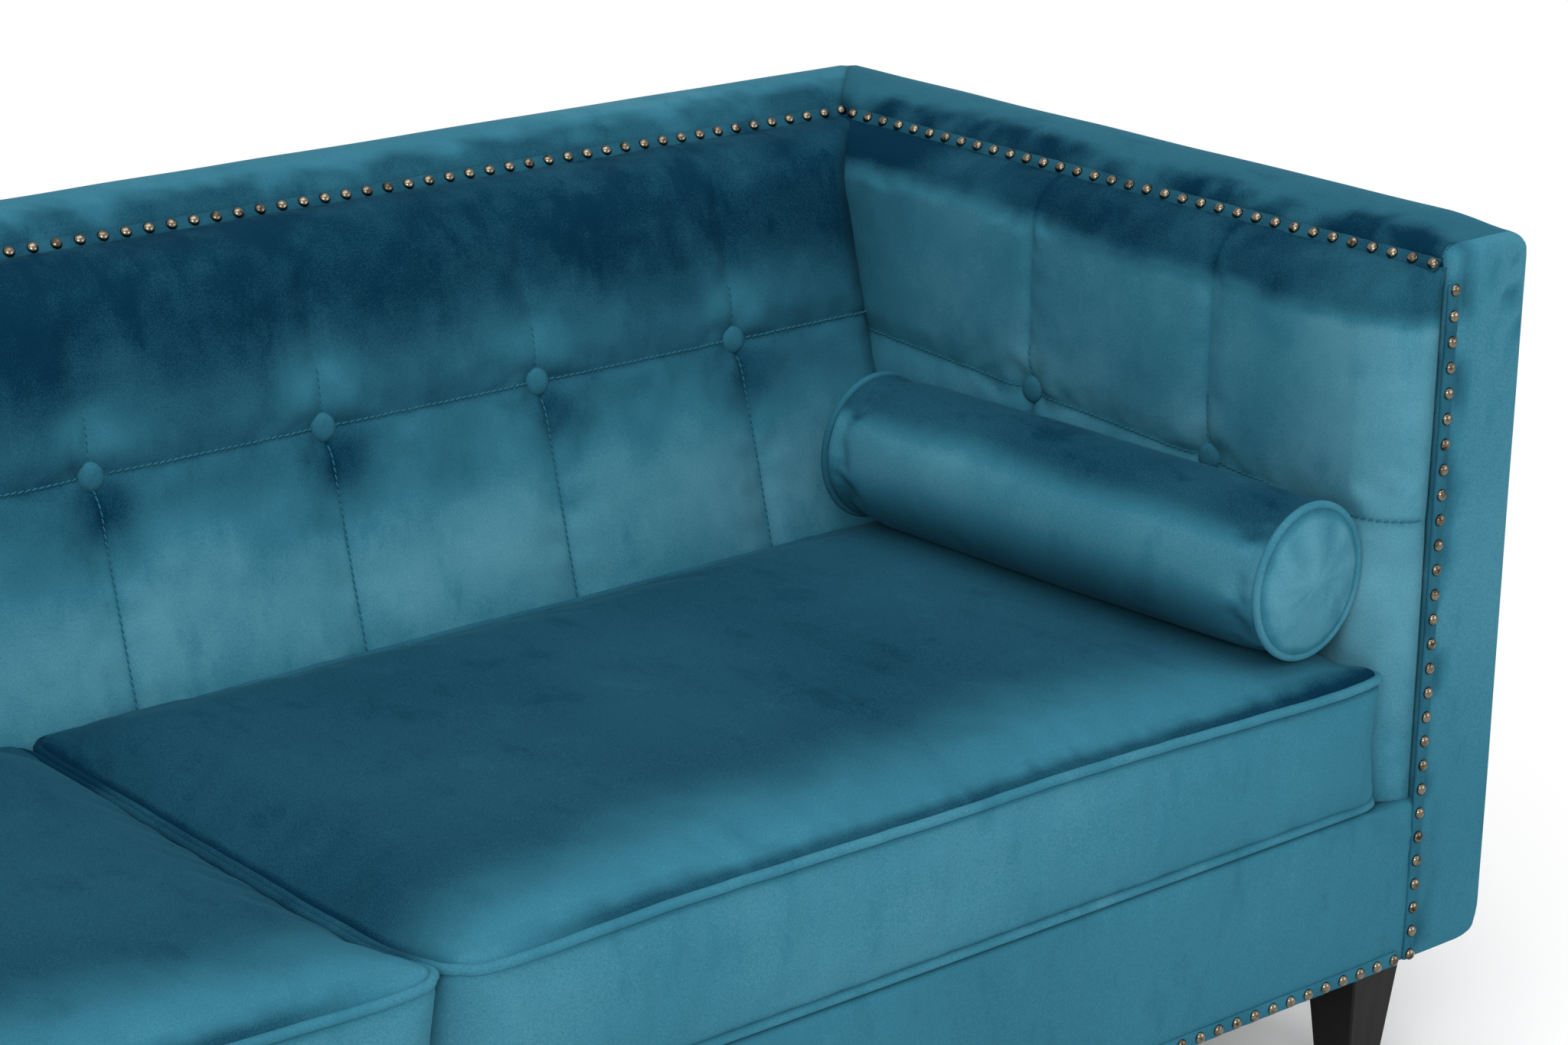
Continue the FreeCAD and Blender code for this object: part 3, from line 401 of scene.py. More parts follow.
# %% Shared places
band_low, band_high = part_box("arm_band_right")
facing_low, facing_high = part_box("arm_facing_right")
HALF_WIDTH = band_high.x
HALF_DEPTH = band_high.y
TOP = band_high.z
NAIL_X = band_low.x
BAND = HALF_WIDTH - NAIL_X
NAIL_Y = HALF_DEPTH - BAND
FRONT = facing_low.y
FOOT = facing_low.z
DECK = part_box("deck_pad")[1].z
NAIL_Z = TOP - 0.020
NAIL_PITCH = 0.0212
print("nail line at x", round(NAIL_X, 3), "y", round(NAIL_Y, 3), "z", round(NAIL_Z, 3))

# %% [markdown]
# ## Tools for covers
#
# Covers start as a flat grid whose points are then put in place, because a grid keeps clean rows
# along the seams. Grid lines lie closer together near a seam, where the cover bends most.

# %% Sheets
def mix(low, high, share):
    return low + (high - low) * share


def ease(low, high, value):
    """0 below low, 1 above high, smooth between."""
    share = min(max((value - low) / (high - low), 0), 1)
    return share * share * (3 - 2 * share)


def bell(distance, width):
    """1 at no distance, falling off softly."""
    return math.exp(-((distance / width) ** 2))


def roll(distance, radius):
    """Height of a round edge at a distance from it, as a share of its radius."""
    return math.sqrt(1 - (1 - min(max(distance / radius, 0), 1)) ** 2)


def ripple(place, size, seed=0):
    """Smooth noise between about -1 and 1, with features of a given size."""
    return noise.noise(Vector(place) / size + Vector((seed * 7.3, seed * 3.1, seed * 5.7)))


def at_nails(length):
    """1 at every nail along a row, 0 halfway between two."""
    return 0.5 + 0.5 * math.cos(2 * math.pi * length / NAIL_PITCH)


def lines_between(knots, cells):
    """Grid lines over a row of panels, closer together near each seam."""
    lines = []
    for start, end, count in zip(knots, knots[1:], cells):
        for step in range(count):
            share = step / count
            eased = 0.5 - 0.5 * math.cos(math.pi * share)
            lines.append(mix(start, end, mix(share, eased, 0.62)))
    return lines + [knots[-1]]


def sheet(columns, rows, place):
    """Grid with each point put where place(column, row) says."""
    bm = bmesh.new()
    across = len(columns) - 1
    up = len(rows) - 1
    bmesh.ops.create_grid(bm, x_segments=across, y_segments=up, size=0.5)
    for vert in bm.verts:
        column = columns[round((vert.co.x + 0.5) * across)]
        row = rows[round((vert.co.y + 0.5) * up)]
        vert.co = place(column, row)
    return bm


def closed_back(bm, pulled):
    """Closes a sheet into a pad: its rim is pulled back and the rear is filled."""
    bm.normal_update()
    bm.faces.ensure_lookup_table()
    middle = bm.faces[len(bm.faces) // 2]
    outward = middle.normal.copy()
    rim = [edge for edge in bm.edges if edge.is_boundary]
    grown = bmesh.ops.extrude_edge_only(bm, edges=rim)["geom"]
    for vert in grown:
        if isinstance(vert, bmesh.types.BMVert):
            vert.co = pulled(vert.co)
    rear = [edge for edge in grown if isinstance(edge, bmesh.types.BMEdge)]
    filled = bmesh.ops.holes_fill(bm, edges=rear, sides=0)["faces"]
    bmesh.ops.triangulate(bm, faces=filled)
    bmesh.ops.recalc_face_normals(bm, faces=bm.faces)
    if middle.normal.dot(outward) < 0:
        bmesh.ops.reverse_faces(bm, faces=bm.faces)


def tube(stations, ring, place):
    """Closed tube: a grid whose long sides are merged, with its ends filled."""
    around = list(range(len(ring))) + [0]
    bm = sheet(stations, around, lambda station, index: place(station, ring[index]))
    bmesh.ops.remove_doubles(bm, verts=bm.verts, dist=1e-5)
    ends = [edge for edge in bm.edges if edge.is_boundary]
    bmesh.ops.holes_fill(bm, edges=ends, sides=0)
    bmesh.ops.recalc_face_normals(bm, faces=bm.faces)
    return bm


print("tools for sheets, pads and tubes")

# %% Pieces
made_as = {}


def add_piece(shape, name, finish, body, slot, stands_for=(), fill=None):
    """Object from a bmesh or mesh that rides on a CAD body and may stand for CAD nodes."""
    mesh = to_mesh(name, shape) if isinstance(shape, bmesh.types.BMesh) else shape
    mesh.materials.clear()
    mesh.materials.append(finish)
    mesh.shade_smooth()
    piece = bpy.data.objects.new(name, mesh)
    scene.collection.objects.link(piece)
    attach(piece, body)
    if stands_for:
        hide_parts(*stands_for)
    made_as[name] = (finish, body, slot, stands_for, fill)
    return piece


def add_cover(shape, name, stands_for=(), fill=None, body="frame", finish=VELVET):
    """Piece of velvet, on the frame unless another body is named."""
    return add_piece(shape, name, finish, body, "velvet", stands_for, fill)


def brush_and_shade(piece, nap_and_shade):
    """Stores at each point how light (above 0) or dark the velvet is: how the pile lies, with painted
    light and shade.
    """
    layer = piece.data.attributes.new("nap_and_shade", "FLOAT", "POINT")
    layer.data.foreach_set("value", [nap_and_shade(v.co, v.normal) for v in piece.data.vertices])


def subdivide_once(piece):
    finer = piece.modifiers.new("finer", "SUBSURF")
    finer.levels = 1
    finer.render_levels = 1


def turned(name):
    """Name of the left-hand partner."""
    return name.replace("_right", "_left")


def add_left(piece):
    """Mirror image of a finished right-hand piece, with every name turned to the left."""
    name = turned(piece.name)
    mesh = piece.data.copy()
    mesh.name = name
    mesh.transform(Matrix.Scale(-1, 4, (1, 0, 0)))
    mesh.flip_normals()
    finish, body, slot, stands_for, fill = made_as[piece.name]
    left = add_piece(mesh, name, finish, turned(body), slot, [turned(node) for node in stands_for], fill)
    if piece.modifiers:
        subdivide_once(left)


print("tools for pieces")

# %% [markdown]
# ## Letting cloth settle
#
# A sewn cover is tight along its seams and swells between them. Blender's cloth does this: the
# seams are held, a little pressure pushes from inside, and some slack lets small folds form.
# Each point may move only so far, so the piece keeps the form that its seams give it.

# %% Cloth
CLOTH_FRAMES = 20
CLOTH = {
    "quality": 5,
    "mass": 0.25,
    "tension_stiffness": 12,
    "compression_stiffness": 12,
    "shear_stiffness": 4,
    "bending_stiffness": 0.4,
    "tension_damping": 12,
    "compression_damping": 12,
    "shear_damping": 12,
    "vertex_group_mass": "held",
    "pin_stiffness": 1,
    "use_pressure": True,
}


def settle(piece, held, pressure, slack, cap):
    """Simulates a cover in place and keeps each point within cap of where it began."""
    start = [vert.co.copy() for vert in piece.data.vertices]
    group = piece.vertex_groups.new(name="held")
    group.add(held, 1.0, "REPLACE")
    cloth = piece.modifiers.new("settle", "CLOTH")
    for name, value in CLOTH.items():
        setattr(cloth.settings, name, value)
    cloth.settings.uniform_pressure_force = pressure
    cloth.settings.shrink_min = -slack
    cloth.settings.effector_weights.gravity = 0
    cloth.collision_settings.use_collision = False
    for step in range(1, CLOTH_FRAMES + 1):
        scene.frame_set(step)
    settled = piece.evaluated_get(bpy.context.evaluated_depsgraph_get()).to_mesh()
    moves = [new.co - old for new, old in zip(settled.vertices, start)]
    piece.modifiers.remove(cloth)
    piece.vertex_groups.remove(group)
    scene.frame_set(1)
    for vert, old, move in zip(piece.data.vertices, start, moves):
        vert.co = old + move * min(1, cap / max(move.length, 1e-9))
    piece.data.update()
    farthest = max(move.length for move in moves)
    print(piece.name, "settled, farthest point moved", round(farthest * 1000, 1), "mm")


print("cloth runs")

# %% [markdown]
# ## Padded band
#
# A band of wadding under velvet runs along the top of the back and both arms. Its section is a
# bar with a low crown, a round outer edge and a tighter inner one, swept along the top. At the
# back corners two bands meet in a mitre, so each end follows the diagonal. Nails pull the inner
# edge down a little at every pitch.

# %% Band section
def round_corners(corners, steps=6):
    """Outline through corners given as (across, up, radius)."""
    points = []
    count = len(corners)
    for index, (x, y, radius) in enumerate(corners):
        corner = Vector((x, y))
        before = (Vector(corners[index - 1][:2]) - corner).normalized()
        after = (Vector(corners[(index + 1) % count][:2]) - corner).normalized()
        if radius == 0:
            points.append(corner)
            continue
        for step in range(steps + 1):
            angle = math.pi / 2 * step / steps
            back = before * radius * (1 - math.sin(angle))
            points.append(corner + back + after * radius * (1 - math.cos(angle)))
    return points


def with_midpoints(points, longest):
    """Adds points so that no side is longer than a given length."""
    filled = []
    for start, end in zip(points, points[1:] + points[:1]):
        parts = max(1, math.ceil((end - start).length / longest))
        filled += [start.lerp(end, part / parts) for part in range(parts)]
    return filled


BAND_FLOOR = band_low.z
BAND_CROWN = 0.0095
NAIL_PULL = 0.0016
OUTER_ROUND = 0.021
INNER_ROUND = 0.015
band_ring = with_midpoints(round_corners([
    (0, BAND_FLOOR, 0),
    (0, TOP, OUTER_ROUND),
    (BAND, TOP, INNER_ROUND),
    (BAND, BAND_FLOOR, 0.004),
]), 0.009)


def band_point(inward, up, along, end_gap):
    """Point of the band's section with its crown, nail pulls and soft unevenness."""
    on_top = ease(TOP - 0.014, TOP - 0.002, up)
    dome = BAND_CROWN * math.sin(math.pi * inward / BAND)
    rise = on_top * (dome + 0.0007 * ripple((along, inward, 0), 0.11))
    pull = bell(BAND - inward, 0.014) * ease(BAND_FLOOR, TOP - 0.008, up)
    rise -= pull * NAIL_PULL * at_nails(along)
    rise -= pull * 0.0012 * ripple((along, 0, 3), 0.03)
    rise -= on_top * 0.0018 * bell(end_gap, 0.004)
    side = 0.0008 * ripple((along, up, 5), 0.09) * (1 - on_top)
    return inward + side, up + rise


def lengths(start, end, pitch):
    """Even steps from start to end, about a pitch apart."""
    count = max(2, round(abs(end - start) / pitch))
    return [mix(start, end, step / count) for step in range(count + 1)]


print("band section of", len(band_ring), "points")

# %% Back band
BAND_FILL = 0.8
VALLEY_SHADE_WIDTH = 0.034


def back_band_point(share, ring_point):
    inward, up = ring_point
    reach = HALF_WIDTH - inward
    along = mix(-reach, reach, share)
    inward, up = band_point(inward, up, along, reach - abs(along))
    return Vector((along, HALF_DEPTH - inward, up))


def band_nap_and_shade(across, base, start):
    """Even outer part, a little darker where it faces up (painted shade), and a ragged dark band from a
    distance off the outer edge up to the nails: painted shade where the band rolls into the valley.
    """
    def nap_and_shade(co, normal):
        inward = across(co) + 0.022 * ripple(co, 0.05) + 0.012 * ripple(co, 0.017, 2)
        valley_shade = ease(start, start + VALLEY_SHADE_WIDTH, inward)
        return base - 0.06 * ease(0.2, 0.9, normal.z) - 0.40 * valley_shade + 0.05 * ripple(co, 0.2, 4)

    return nap_and_shade


bm = tube(lengths(0, 1, 0.0055), band_ring, back_band_point)
back_band = add_cover(bm, "back_band_cover", ["back_band"], BAND_FILL)
brush_and_shade(back_band, band_nap_and_shade(lambda co: HALF_DEPTH - co.y, 0.12, 0.062))
print("back band:", len(back_band.data.polygons), "faces")

# %% Arm bands
FRONT_ROUND = 0.012
band_front = FRONT + FRONT_ROUND - 0.001


def arm_band_point(share, ring_point):
    """As on the back, but with a plain section at the front, where the arm front covers it."""
    inward, up = ring_point
    rear = HALF_DEPTH - inward
    along = mix(band_front, rear, share)
    soft_inward, soft_up = band_point(inward, up, along, rear - along)
    free = ease(0, 0.06, along - band_front)
    return Vector((HALF_WIDTH - mix(inward, soft_inward, free), along, mix(up, soft_up, free)))


bm = tube(lengths(0, 1, 0.012), band_ring, arm_band_point)
arm_band = add_cover(bm, "arm_band_cover_right", ["arm_band_right"], BAND_FILL)
brush_and_shade(arm_band, band_nap_and_shade(lambda co: HALF_WIDTH - abs(co.x), -0.10, 0.074))
add_left(arm_band)
print("arm bands:", len(arm_band.data.polygons), "faces each")

# %% [markdown]
# ## Flat covers
#
# The arm fronts, the front rail and the outside are thin padding under velvet on board. Each is a
# sheet whose edges roll back; corners of the outline are cut round by moving the points that lie
# outside the round onto it.

# %% Panel tool
PANEL_FILL = 0.7
ROLL_STEPS = (0, 0.06, 0.18, 0.38, 0.65)


def round_off(x, y, centre, reach):
    """Makes a corner round for a point past its centre; reach is its radius, signed each way."""
    p = (x - centre[0]) / reach[0]
    q = (y - centre[1]) / reach[1]
    if p <= 0 or q <= 0:
        return x, y
    x = centre[0] + reach[0] * p * math.sqrt(1 - q * q / 2)
    y = centre[1] + reach[1] * q * math.sqrt(1 - p * p / 2)
    return x, y


def add_panel(name, node, low, high, pitch, corners, edges, relief, put, rear):
    """Padded sheet over a rectangle (across, up): edges rolled, corners rounded, rear closed."""
    middle = [mix(start, end, 0.5) for start, end in zip(low, high)]

    def steps(axis, first, last):
        near = [low[axis] + first * share for share in ROLL_STEPS]
        far = [high[axis] - last * share for share in reversed(ROLL_STEPS)]
        return near + lengths(low[axis] + first, high[axis] - last, pitch) + far

    def place(across, up):
        x = across
        y = up
        for corner_x, corner_y, radius in corners:
            reach_x = math.copysign(radius, corner_x - middle[0])
            reach_y = math.copysign(radius, corner_y - middle[1])
            x, y = round_off(x, y, (corner_x - reach_x, corner_y - reach_y), (reach_x, reach_y))
        gaps = (across - low[0], high[0] - across, up - low[1], high[1] - up)
        sunk = sum(radius * (1 - roll(gap, radius)) for gap, radius in zip(gaps, edges) if gap < radius)
        return put(x, y, min(sunk, max(edges)) - relief(x, y))

    bm = sheet(steps(0, edges[0], edges[1]), steps(1, edges[2], edges[3]), place)
    closed_back(bm, rear)
    return add_cover(bm, name, [node], PANEL_FILL)


print("panel tool")

# %% Arm fronts
FACING_REAR = facing_high.y - 0.0005
FOOT_ROUND = 0.030


def on_front(x, z, depth):
    return Vector((x, FRONT + depth, z))


def behind_front(co):
    return Vector((co.x, FACING_REAR, co.z))


def facing_relief(x, z):
    """Gathers under the band's front, and the pull of the nails along the inner edge."""
    gather = Vector((HALF_WIDTH - 0.014 - x, TOP - 0.016 - z))
    folds = math.sin(gather.angle(Vector((0, 1)), 0) * 9 + 1.2) if gather.length > 0.004 else 0
    swell = 0.0018 * folds * bell(gather.length - 0.022, 0.024) * ease(0.006, 0.024, HALF_WIDTH - x)
    pull = bell(x - NAIL_X, 0.011) * at_nails(z - FOOT)
    return swell - 0.0014 * pull + 0.0006 * ripple((x, 0, z), 0.12)


def facing_nap_and_shade(co, normal):
    """Painted shade: a dark strip beside the nails along the valley, and patchy dark in the gathers
    under the band; darker towards the foot.
    """
    beside_nails = bell(abs(co.x) - NAIL_X - 0.012 - 0.008 * ripple(co, 0.05), 0.012)
    crumple = bell(TOP - 0.03 - co.z, 0.05) * ease(NAIL_X + 0.03, HALF_WIDTH, abs(co.x))
    marks = ease(0.1, 0.5, ripple(co, 0.022, 6))
    tone = 0.13 - 0.14 * ease(0.5, 0.2, co.z)
    tone -= 0.36 * beside_nails * ease(-0.3, 0.4, ripple(co, 0.035, 1))
    return tone - 0.4 * crumple * marks


facing = add_panel(
    "arm_front_cover_right",
    "arm_facing_right",
    low=(NAIL_X, FOOT),
    high=(HALF_WIDTH, TOP),
    pitch=0.009,
    corners=[
        (HALF_WIDTH, FOOT, FOOT_ROUND),
        (HALF_WIDTH, TOP, OUTER_ROUND),
        (NAIL_X, TOP, INNER_ROUND),
    ],
    edges=(0.006, FRONT_ROUND, 0.006, FRONT_ROUND),
    relief=facing_relief,
    put=on_front,
    rear=behind_front,
)
brush_and_shade(facing, facing_nap_and_shade)
add_left(facing)
print("arm fronts:", len(facing.data.polygons), "faces each")

# %% Front rail
def rail_relief(x, z):
    """A pleat runs from under each cushion's corner to the nails of the arm."""
    start = Vector((NAIL_X - 0.055, DECK - 0.002))
    end = Vector((NAIL_X - 0.004, DECK - 0.040))
    spot = Vector((abs(x), z))
    share = max(0, min(1, (spot - start).dot(end - start) / (end - start).length_squared))
    offset = spot - start.lerp(end, share)
    gap = offset.dot(Vector((0.6, 0.8)))
    fold = (bell(gap - 0.004, 0.005) - bell(gap + 0.003, 0.004)) * bell(offset.length, 0.012)
    pull = bell(z - FOOT, 0.010) * at_nails(x)
    return 0.0038 * fold * (1 - share * 0.6) - 0.0013 * pull + 0.0008 * ripple((x, 1, z), 0.16)


rail = add_panel(
    "front_rail_velvet",
    "front_rail_cover",
    low=(-NAIL_X, FOOT),
    high=(NAIL_X, DECK),
    pitch=0.0085,
    corners=[],
    edges=(0.003, 0.003, 0.007, 0.006),
    relief=rail_relief,
    put=on_front,
    rear=behind_front,
)
brush_and_shade(rail, lambda co, normal: -0.04 + 0.10 * ripple(co, 0.3, 2) + 0.05 * ease(FOOT, DECK, co.z))
print("front rail:", len(rail.data.polygons), "faces")

# %% Outside arms and back
OUTSIDE_PITCH = 0.02


def outside_relief(x, z):
    return 0.0012 * ripple((x, 2, z), 0.25) + 0.0008 * ripple((x, 4, z), 0.1)


outside_arm = add_panel(
    "outside_arm_cover_right",
    "outside_arm_panel_right",
    low=(FACING_REAR, FOOT),
    high=(HALF_DEPTH - 0.0005, BAND_FLOOR),
    pitch=OUTSIDE_PITCH,
    corners=[],
    edges=(0.002, 0.003, 0.030, 0.004),
    relief=outside_relief,
    put=lambda y, z, depth: Vector((HALF_WIDTH - depth, y, z)),
    rear=lambda co: Vector((min(co.x - 0.002, HALF_WIDTH - 0.004), co.y, max(co.z, FOOT + 0.003))),
)
brush_and_shade(outside_arm, lambda co, normal: 0.08 * ripple(co, 0.35, 3))
add_left(outside_arm)

outside_back = add_panel(
    "outside_back_cover",
    "outside_back_panel",
    low=(-HALF_WIDTH, FOOT),
    high=(HALF_WIDTH, BAND_FLOOR),
    pitch=OUTSIDE_PITCH,
    corners=[(HALF_WIDTH, FOOT, FOOT_ROUND), (-HALF_WIDTH, FOOT, FOOT_ROUND)],
    edges=(0.004, 0.004, 0.004, 0.004),
    relief=outside_relief,
    put=lambda x, z, depth: Vector((-x, HALF_DEPTH - depth, z)),
    rear=lambda co: Vector((co.x, HALF_DEPTH - 0.0042, co.z)),
)
brush_and_shade(outside_back, lambda co, normal: 0.08 * ripple(co, 0.4, 5))
print("outside covers:", len(outside_arm.data.polygons), "and", len(outside_back.data.polygons), "faces")

# %% [markdown]
# ## Tufted back
#
# The back pad is foam under velvet that is sewn in panels: one seam runs along it through the
# buttons and one runs up through each button. Buttons are pulled in on twine, so the pad dips
# around each of them and swells between the seams. The face is straight from the seat up and then
# rolls over into the valley under the band. The grid has a line on every seam.

# %% Tufting
BUTTON_PITCH = 0.218
BUTTON_SINK = 0.0085
SEAM_WIDTH = 0.0032
PANEL_REACH = 0.055
PANEL_SWELL = 0.0032
PUCKERS = 5
PUCKER_HEIGHT = 0.0016
BACK_COLUMNS = [(step - 3.5) * BUTTON_PITCH for step in range(8)]
ARM_ROLL = 0.045
ARM_RISE = TOP - 0.063
PAD_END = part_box("back_pad")[1].x
PAD_END_ROUND = 0.028


def tufts(beside, above, turn):
    """Swell (above 0) or dip of a tufted face, from its distances to the seams."""
    knot = math.hypot(beside, above)
    height = PANEL_SWELL * (1 - bell(beside, PANEL_REACH)) * (1 - bell(above, PANEL_REACH))
    drawn = mix(1, 0.4, ease(0.02, 0.09, above))
    height -= (0.0012 * bell(beside, 0.012) + 0.0014 * bell(beside, SEAM_WIDTH)) * drawn
    height -= 0.0016 * bell(above, 0.015) + 0.0008 * bell(above, SEAM_WIDTH)
    height += 0.0008 * bell(above - 0.012, 0.010)
    height -= BUTTON_SINK * bell(knot, 0.018)
    folds = math.sin(PUCKERS * math.atan2(above, beside + 1e-9) + turn)
    return height + PUCKER_HEIGHT * folds * bell(knot - 0.026, 0.014)


def nearest(value, places):
    """Signed distance to the nearest of some places."""
    return min((value - place for place in places), key=abs)


SEAT_DEPTH = 0.138
SEAT_LINE = Vector((SEAT_DEPTH, DECK))
ROLL_START = Vector((0.254, 0.711))
ROLL_CENTRE = Vector((0.302, 0.6975))
STRAIGHT = (ROLL_START - SEAT_LINE).length
ROLL_RADIUS = (ROLL_START - ROLL_CENTRE).length
ROLL_ANGLE = math.atan2(*(ROLL_START - ROLL_CENTRE).yx)
ROLL_END = math.radians(72.5)
BACK_LENGTH = STRAIGHT + ROLL_RADIUS * (ROLL_ANGLE - ROLL_END)
BACK_SEAM_HEIGHT = 0.586
BACK_SEAM = STRAIGHT * (BACK_SEAM_HEIGHT - DECK) / (ROLL_START.y - DECK)


def back_profile(length):
    """Point and outward direction (depth, up) at a length up the back's face."""
    if length < STRAIGHT:
        rise = (ROLL_START - SEAT_LINE).normalized()
        return SEAT_LINE + rise * length, Vector((-rise.y, rise.x))
    angle = ROLL_ANGLE - (length - STRAIGHT) / ROLL_RADIUS
    out = Vector((math.cos(angle), math.sin(angle)))
    return ROLL_CENTRE + out * ROLL_RADIUS, out


def arm_turns_away(z):
    """How far the arm's pad has rolled back from its face at a height; the back pad follows it."""
    up = min(max((z - ARM_RISE) / ARM_ROLL, 0), 0.98)
    return ARM_ROLL * (1 - math.sqrt(1 - up * up))


def back_pad_point(x, length):
    """Point of the pad at a place across it and a length up its face."""
    point, out = back_profile(length)
    beside = nearest(x, BACK_COLUMNS)
    above = length - BACK_SEAM
    free = ease(0, 0.07, BACK_LENGTH - length)
    swell = tufts(beside, above, x * 31) * mix(0.35, 1, free)
    swell += 0.0010 * ripple((x, 0, length), 0.09, 8) * free
    swell -= NAIL_PULL * (1 - free) * bell(nearest(x % NAIL_PITCH, (0, NAIL_PITCH)), 0.006)
    ends = PAD_END - abs(x)
    swell -= mix(0.002, 0.013, free) * (1 - roll(ends, PAD_END_ROUND))
    beyond = arm_turns_away(point.y) * ease(0.06, 0, ends)
    return Vector((x + math.copysign(beyond, x), point.x + out.x * swell, point.y + out.y * swell))


Grid = namedtuple("Grid", "columns rows seam_columns seam_row")
PAD_FILL = 0.75
BACK_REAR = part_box("back_pad")[1].y - 0.004
back_grid = Grid(
    lines_between([-PAD_END] + BACK_COLUMNS + [PAD_END], [20] + [28] * 7 + [20]),
    lines_between([0, BACK_SEAM, BACK_LENGTH], [38, 28]),
    BACK_COLUMNS,
    BACK_SEAM,
)
bm = sheet(back_grid.columns, back_grid.rows, back_pad_point)
closed_back(bm, lambda co: Vector((co.x, min(co.y + 0.022, BACK_REAR), co.z)))
back_pad = add_cover(bm, "back_pad_cover", ["back_pad"], PAD_FILL)
print("back pad:", len(back_pad.data.polygons), "faces")

# %% Back pad settles
PAD_SETTLE = {"pressure": 1.6, "slack": 0.010, "cap": 0.003}


def grid_index(grid, column, row):
    """Vertex number where the grid lines nearest to a column and a row cross."""
    i = min(range(len(grid.columns)), key=lambda step: abs(grid.columns[step] - column))
    j = min(range(len(grid.rows)), key=lambda step: abs(grid.rows[step] - row))
    return j * len(grid.columns) + i


def held_points(piece, grid):
    """Points on the seams, the rim and whatever was added behind the face."""
    wide = len(grid.columns)
    tall = len(grid.rows)
    seam_columns = {grid_index(grid, column, grid.rows[0]) for column in grid.seam_columns}
    seam_row = grid_index(grid, grid.columns[0], grid.seam_row) // wide
    held = list(range(wide * tall, len(piece.data.vertices)))
    for j in range(tall):
        for i in range(wide):
            rim = i in (0, wide - 1) or j in (0, tall - 1)
            if rim or i in seam_columns or j == seam_row:
                held.append(j * wide + i)
    return held


settle(back_pad, held_points(back_pad, back_grid), **PAD_SETTLE)


def back_nap_and_shade(co, normal):
    """Painted light and shade: dark on the upper roll, light below the seam, darker by the seat and in
    the corner by the arm, a painted shadow under every button and a painted highlight above it, painted
    shade in the seams; darker to the left on the upper part.
    """
    beside = nearest(co.x, BACK_COLUMNS)
    up = co.z - BACK_SEAM_HEIGHT
    spread = 0.025 * ripple(co, 0.10, 3) + 0.016 * ripple(co, 0.035, 9)
    tone = mix(0.20, -0.21, ease(-0.12, 0.004, up + spread))
    tone -= 0.24 * ease(0.02, 0.10, up + 0.02 * ripple(co, 0.08, 7))
    tone -= 0.15 * ease(-0.12, -0.22, up)
    tone -= 0.28 * ease(0.81, 0.90, abs(co.x) + 0.02 * ripple(co, 0.05, 6)) * ease(-0.02, -0.10, up)
    # Painted shadow under each button, and painted highlight above it.
    tone -= 0.28 * bell(beside - 0.008, 0.030) * bell(up + 0.032, 0.030)
    tone += 0.24 * bell(beside, 0.034) * bell(up - 0.030, 0.024)
    tone -= 0.10 * ease(0.4, -0.4, co.x) * ease(-0.05, 0.05, up)
    tone -= 0.06 * bell(up, SEAM_WIDTH) + 0.10 * bell(beside, 0.003) * ease(0.01, -0.02, up)
    return tone + 0.07 * ripple(co, 0.06, 4) + 0.06 * ripple(co, 0.018, 5)


brush_and_shade(back_pad, back_nap_and_shade)
subdivide_once(back_pad)
print("back pad brushed")

# %% [markdown]
# ## Arm pads
#
# Each arm has the same padding, with two buttons. It rolls over at the top towards the band and at
# the front towards the nails of the arm front, and where both rolls meet the corner is a soft knob.

# %% Arm pads
ARM_COLUMNS = [0.015, -0.199]
ARM_FACE = 0.924
ARM_TURN = FRONT + 0.052
ROLL_LIMIT = math.radians(84)
ARM_SEAM_REAR = 0.571
ARM_SEAM_FRONT = 0.537
ARM_SEAM_FRONT_Y = -0.402
HIDDEN_FOOT = 0.016


def arm_seam(y):
    """Height of the arm's lengthwise seam, which falls a little to the front."""
    return mix(ARM_SEAM_REAR, ARM_SEAM_FRONT, (NAIL_Y - y) / (NAIL_Y - ARM_SEAM_FRONT_Y))


def arm_pad_point(along, row):
    """Point of the pad.

    Columns run from the back to the front and, past 3, round the front roll. Rows run up from the
    deck and, past 2, round the top roll.
    """
    front = min(max(along - 3, 0), 1) * ROLL_LIMIT
    spots = [NAIL_Y] + ARM_COLUMNS + [ARM_TURN]
    part = min(int(along), 2)
    y = mix(spots[part], spots[part + 1], min(along, 3) - part)
    top = min(max(row - 2, 0), 1) * ROLL_LIMIT
    seam = arm_seam(y)
    if row < 1:
        z = mix(DECK - HIDDEN_FOOT, seam, row)
    else:
        z = mix(seam, ARM_RISE, min(row, 2) - 1)
    beside = nearest(y - ARM_ROLL * front, ARM_COLUMNS)
    free = ease(0, 0.9, 3 - row) * ease(0, 0.9, 4 - along)
    swell = tufts(beside, z - seam, y * 40) * mix(0.3, 1, free)
    swell += 0.0010 * ripple((y, 7, z), 0.08, 2) * free
    out = Vector((-math.cos(front) * math.cos(top), -math.sin(front), math.sin(top))).normalized()
    point = Vector((
        ARM_FACE + ARM_ROLL * (1 - math.cos(front) * math.cos(top)),
        y - ARM_ROLL * math.sin(front),
        z + ARM_ROLL * math.sin(top),
    ))
    return point + out * swell


arm_grid = Grid(
    lines_between([0, 1, 2, 3, 4], [38, 28, 22, 12]),
    lines_between([0, 1, 2, 3], [34, 20, 12]),
    [1, 2],
    1,
)
bm = sheet(arm_grid.columns, arm_grid.rows, arm_pad_point)
closed_back(bm, lambda co: Vector((NAIL_X - 0.0032, co.y, co.z)))
arm_pad = add_cover(bm, "arm_pad_cover_right", ["arm_pad_right"], PAD_FILL)
settle(arm_pad, held_points(arm_pad, arm_grid), **PAD_SETTLE)


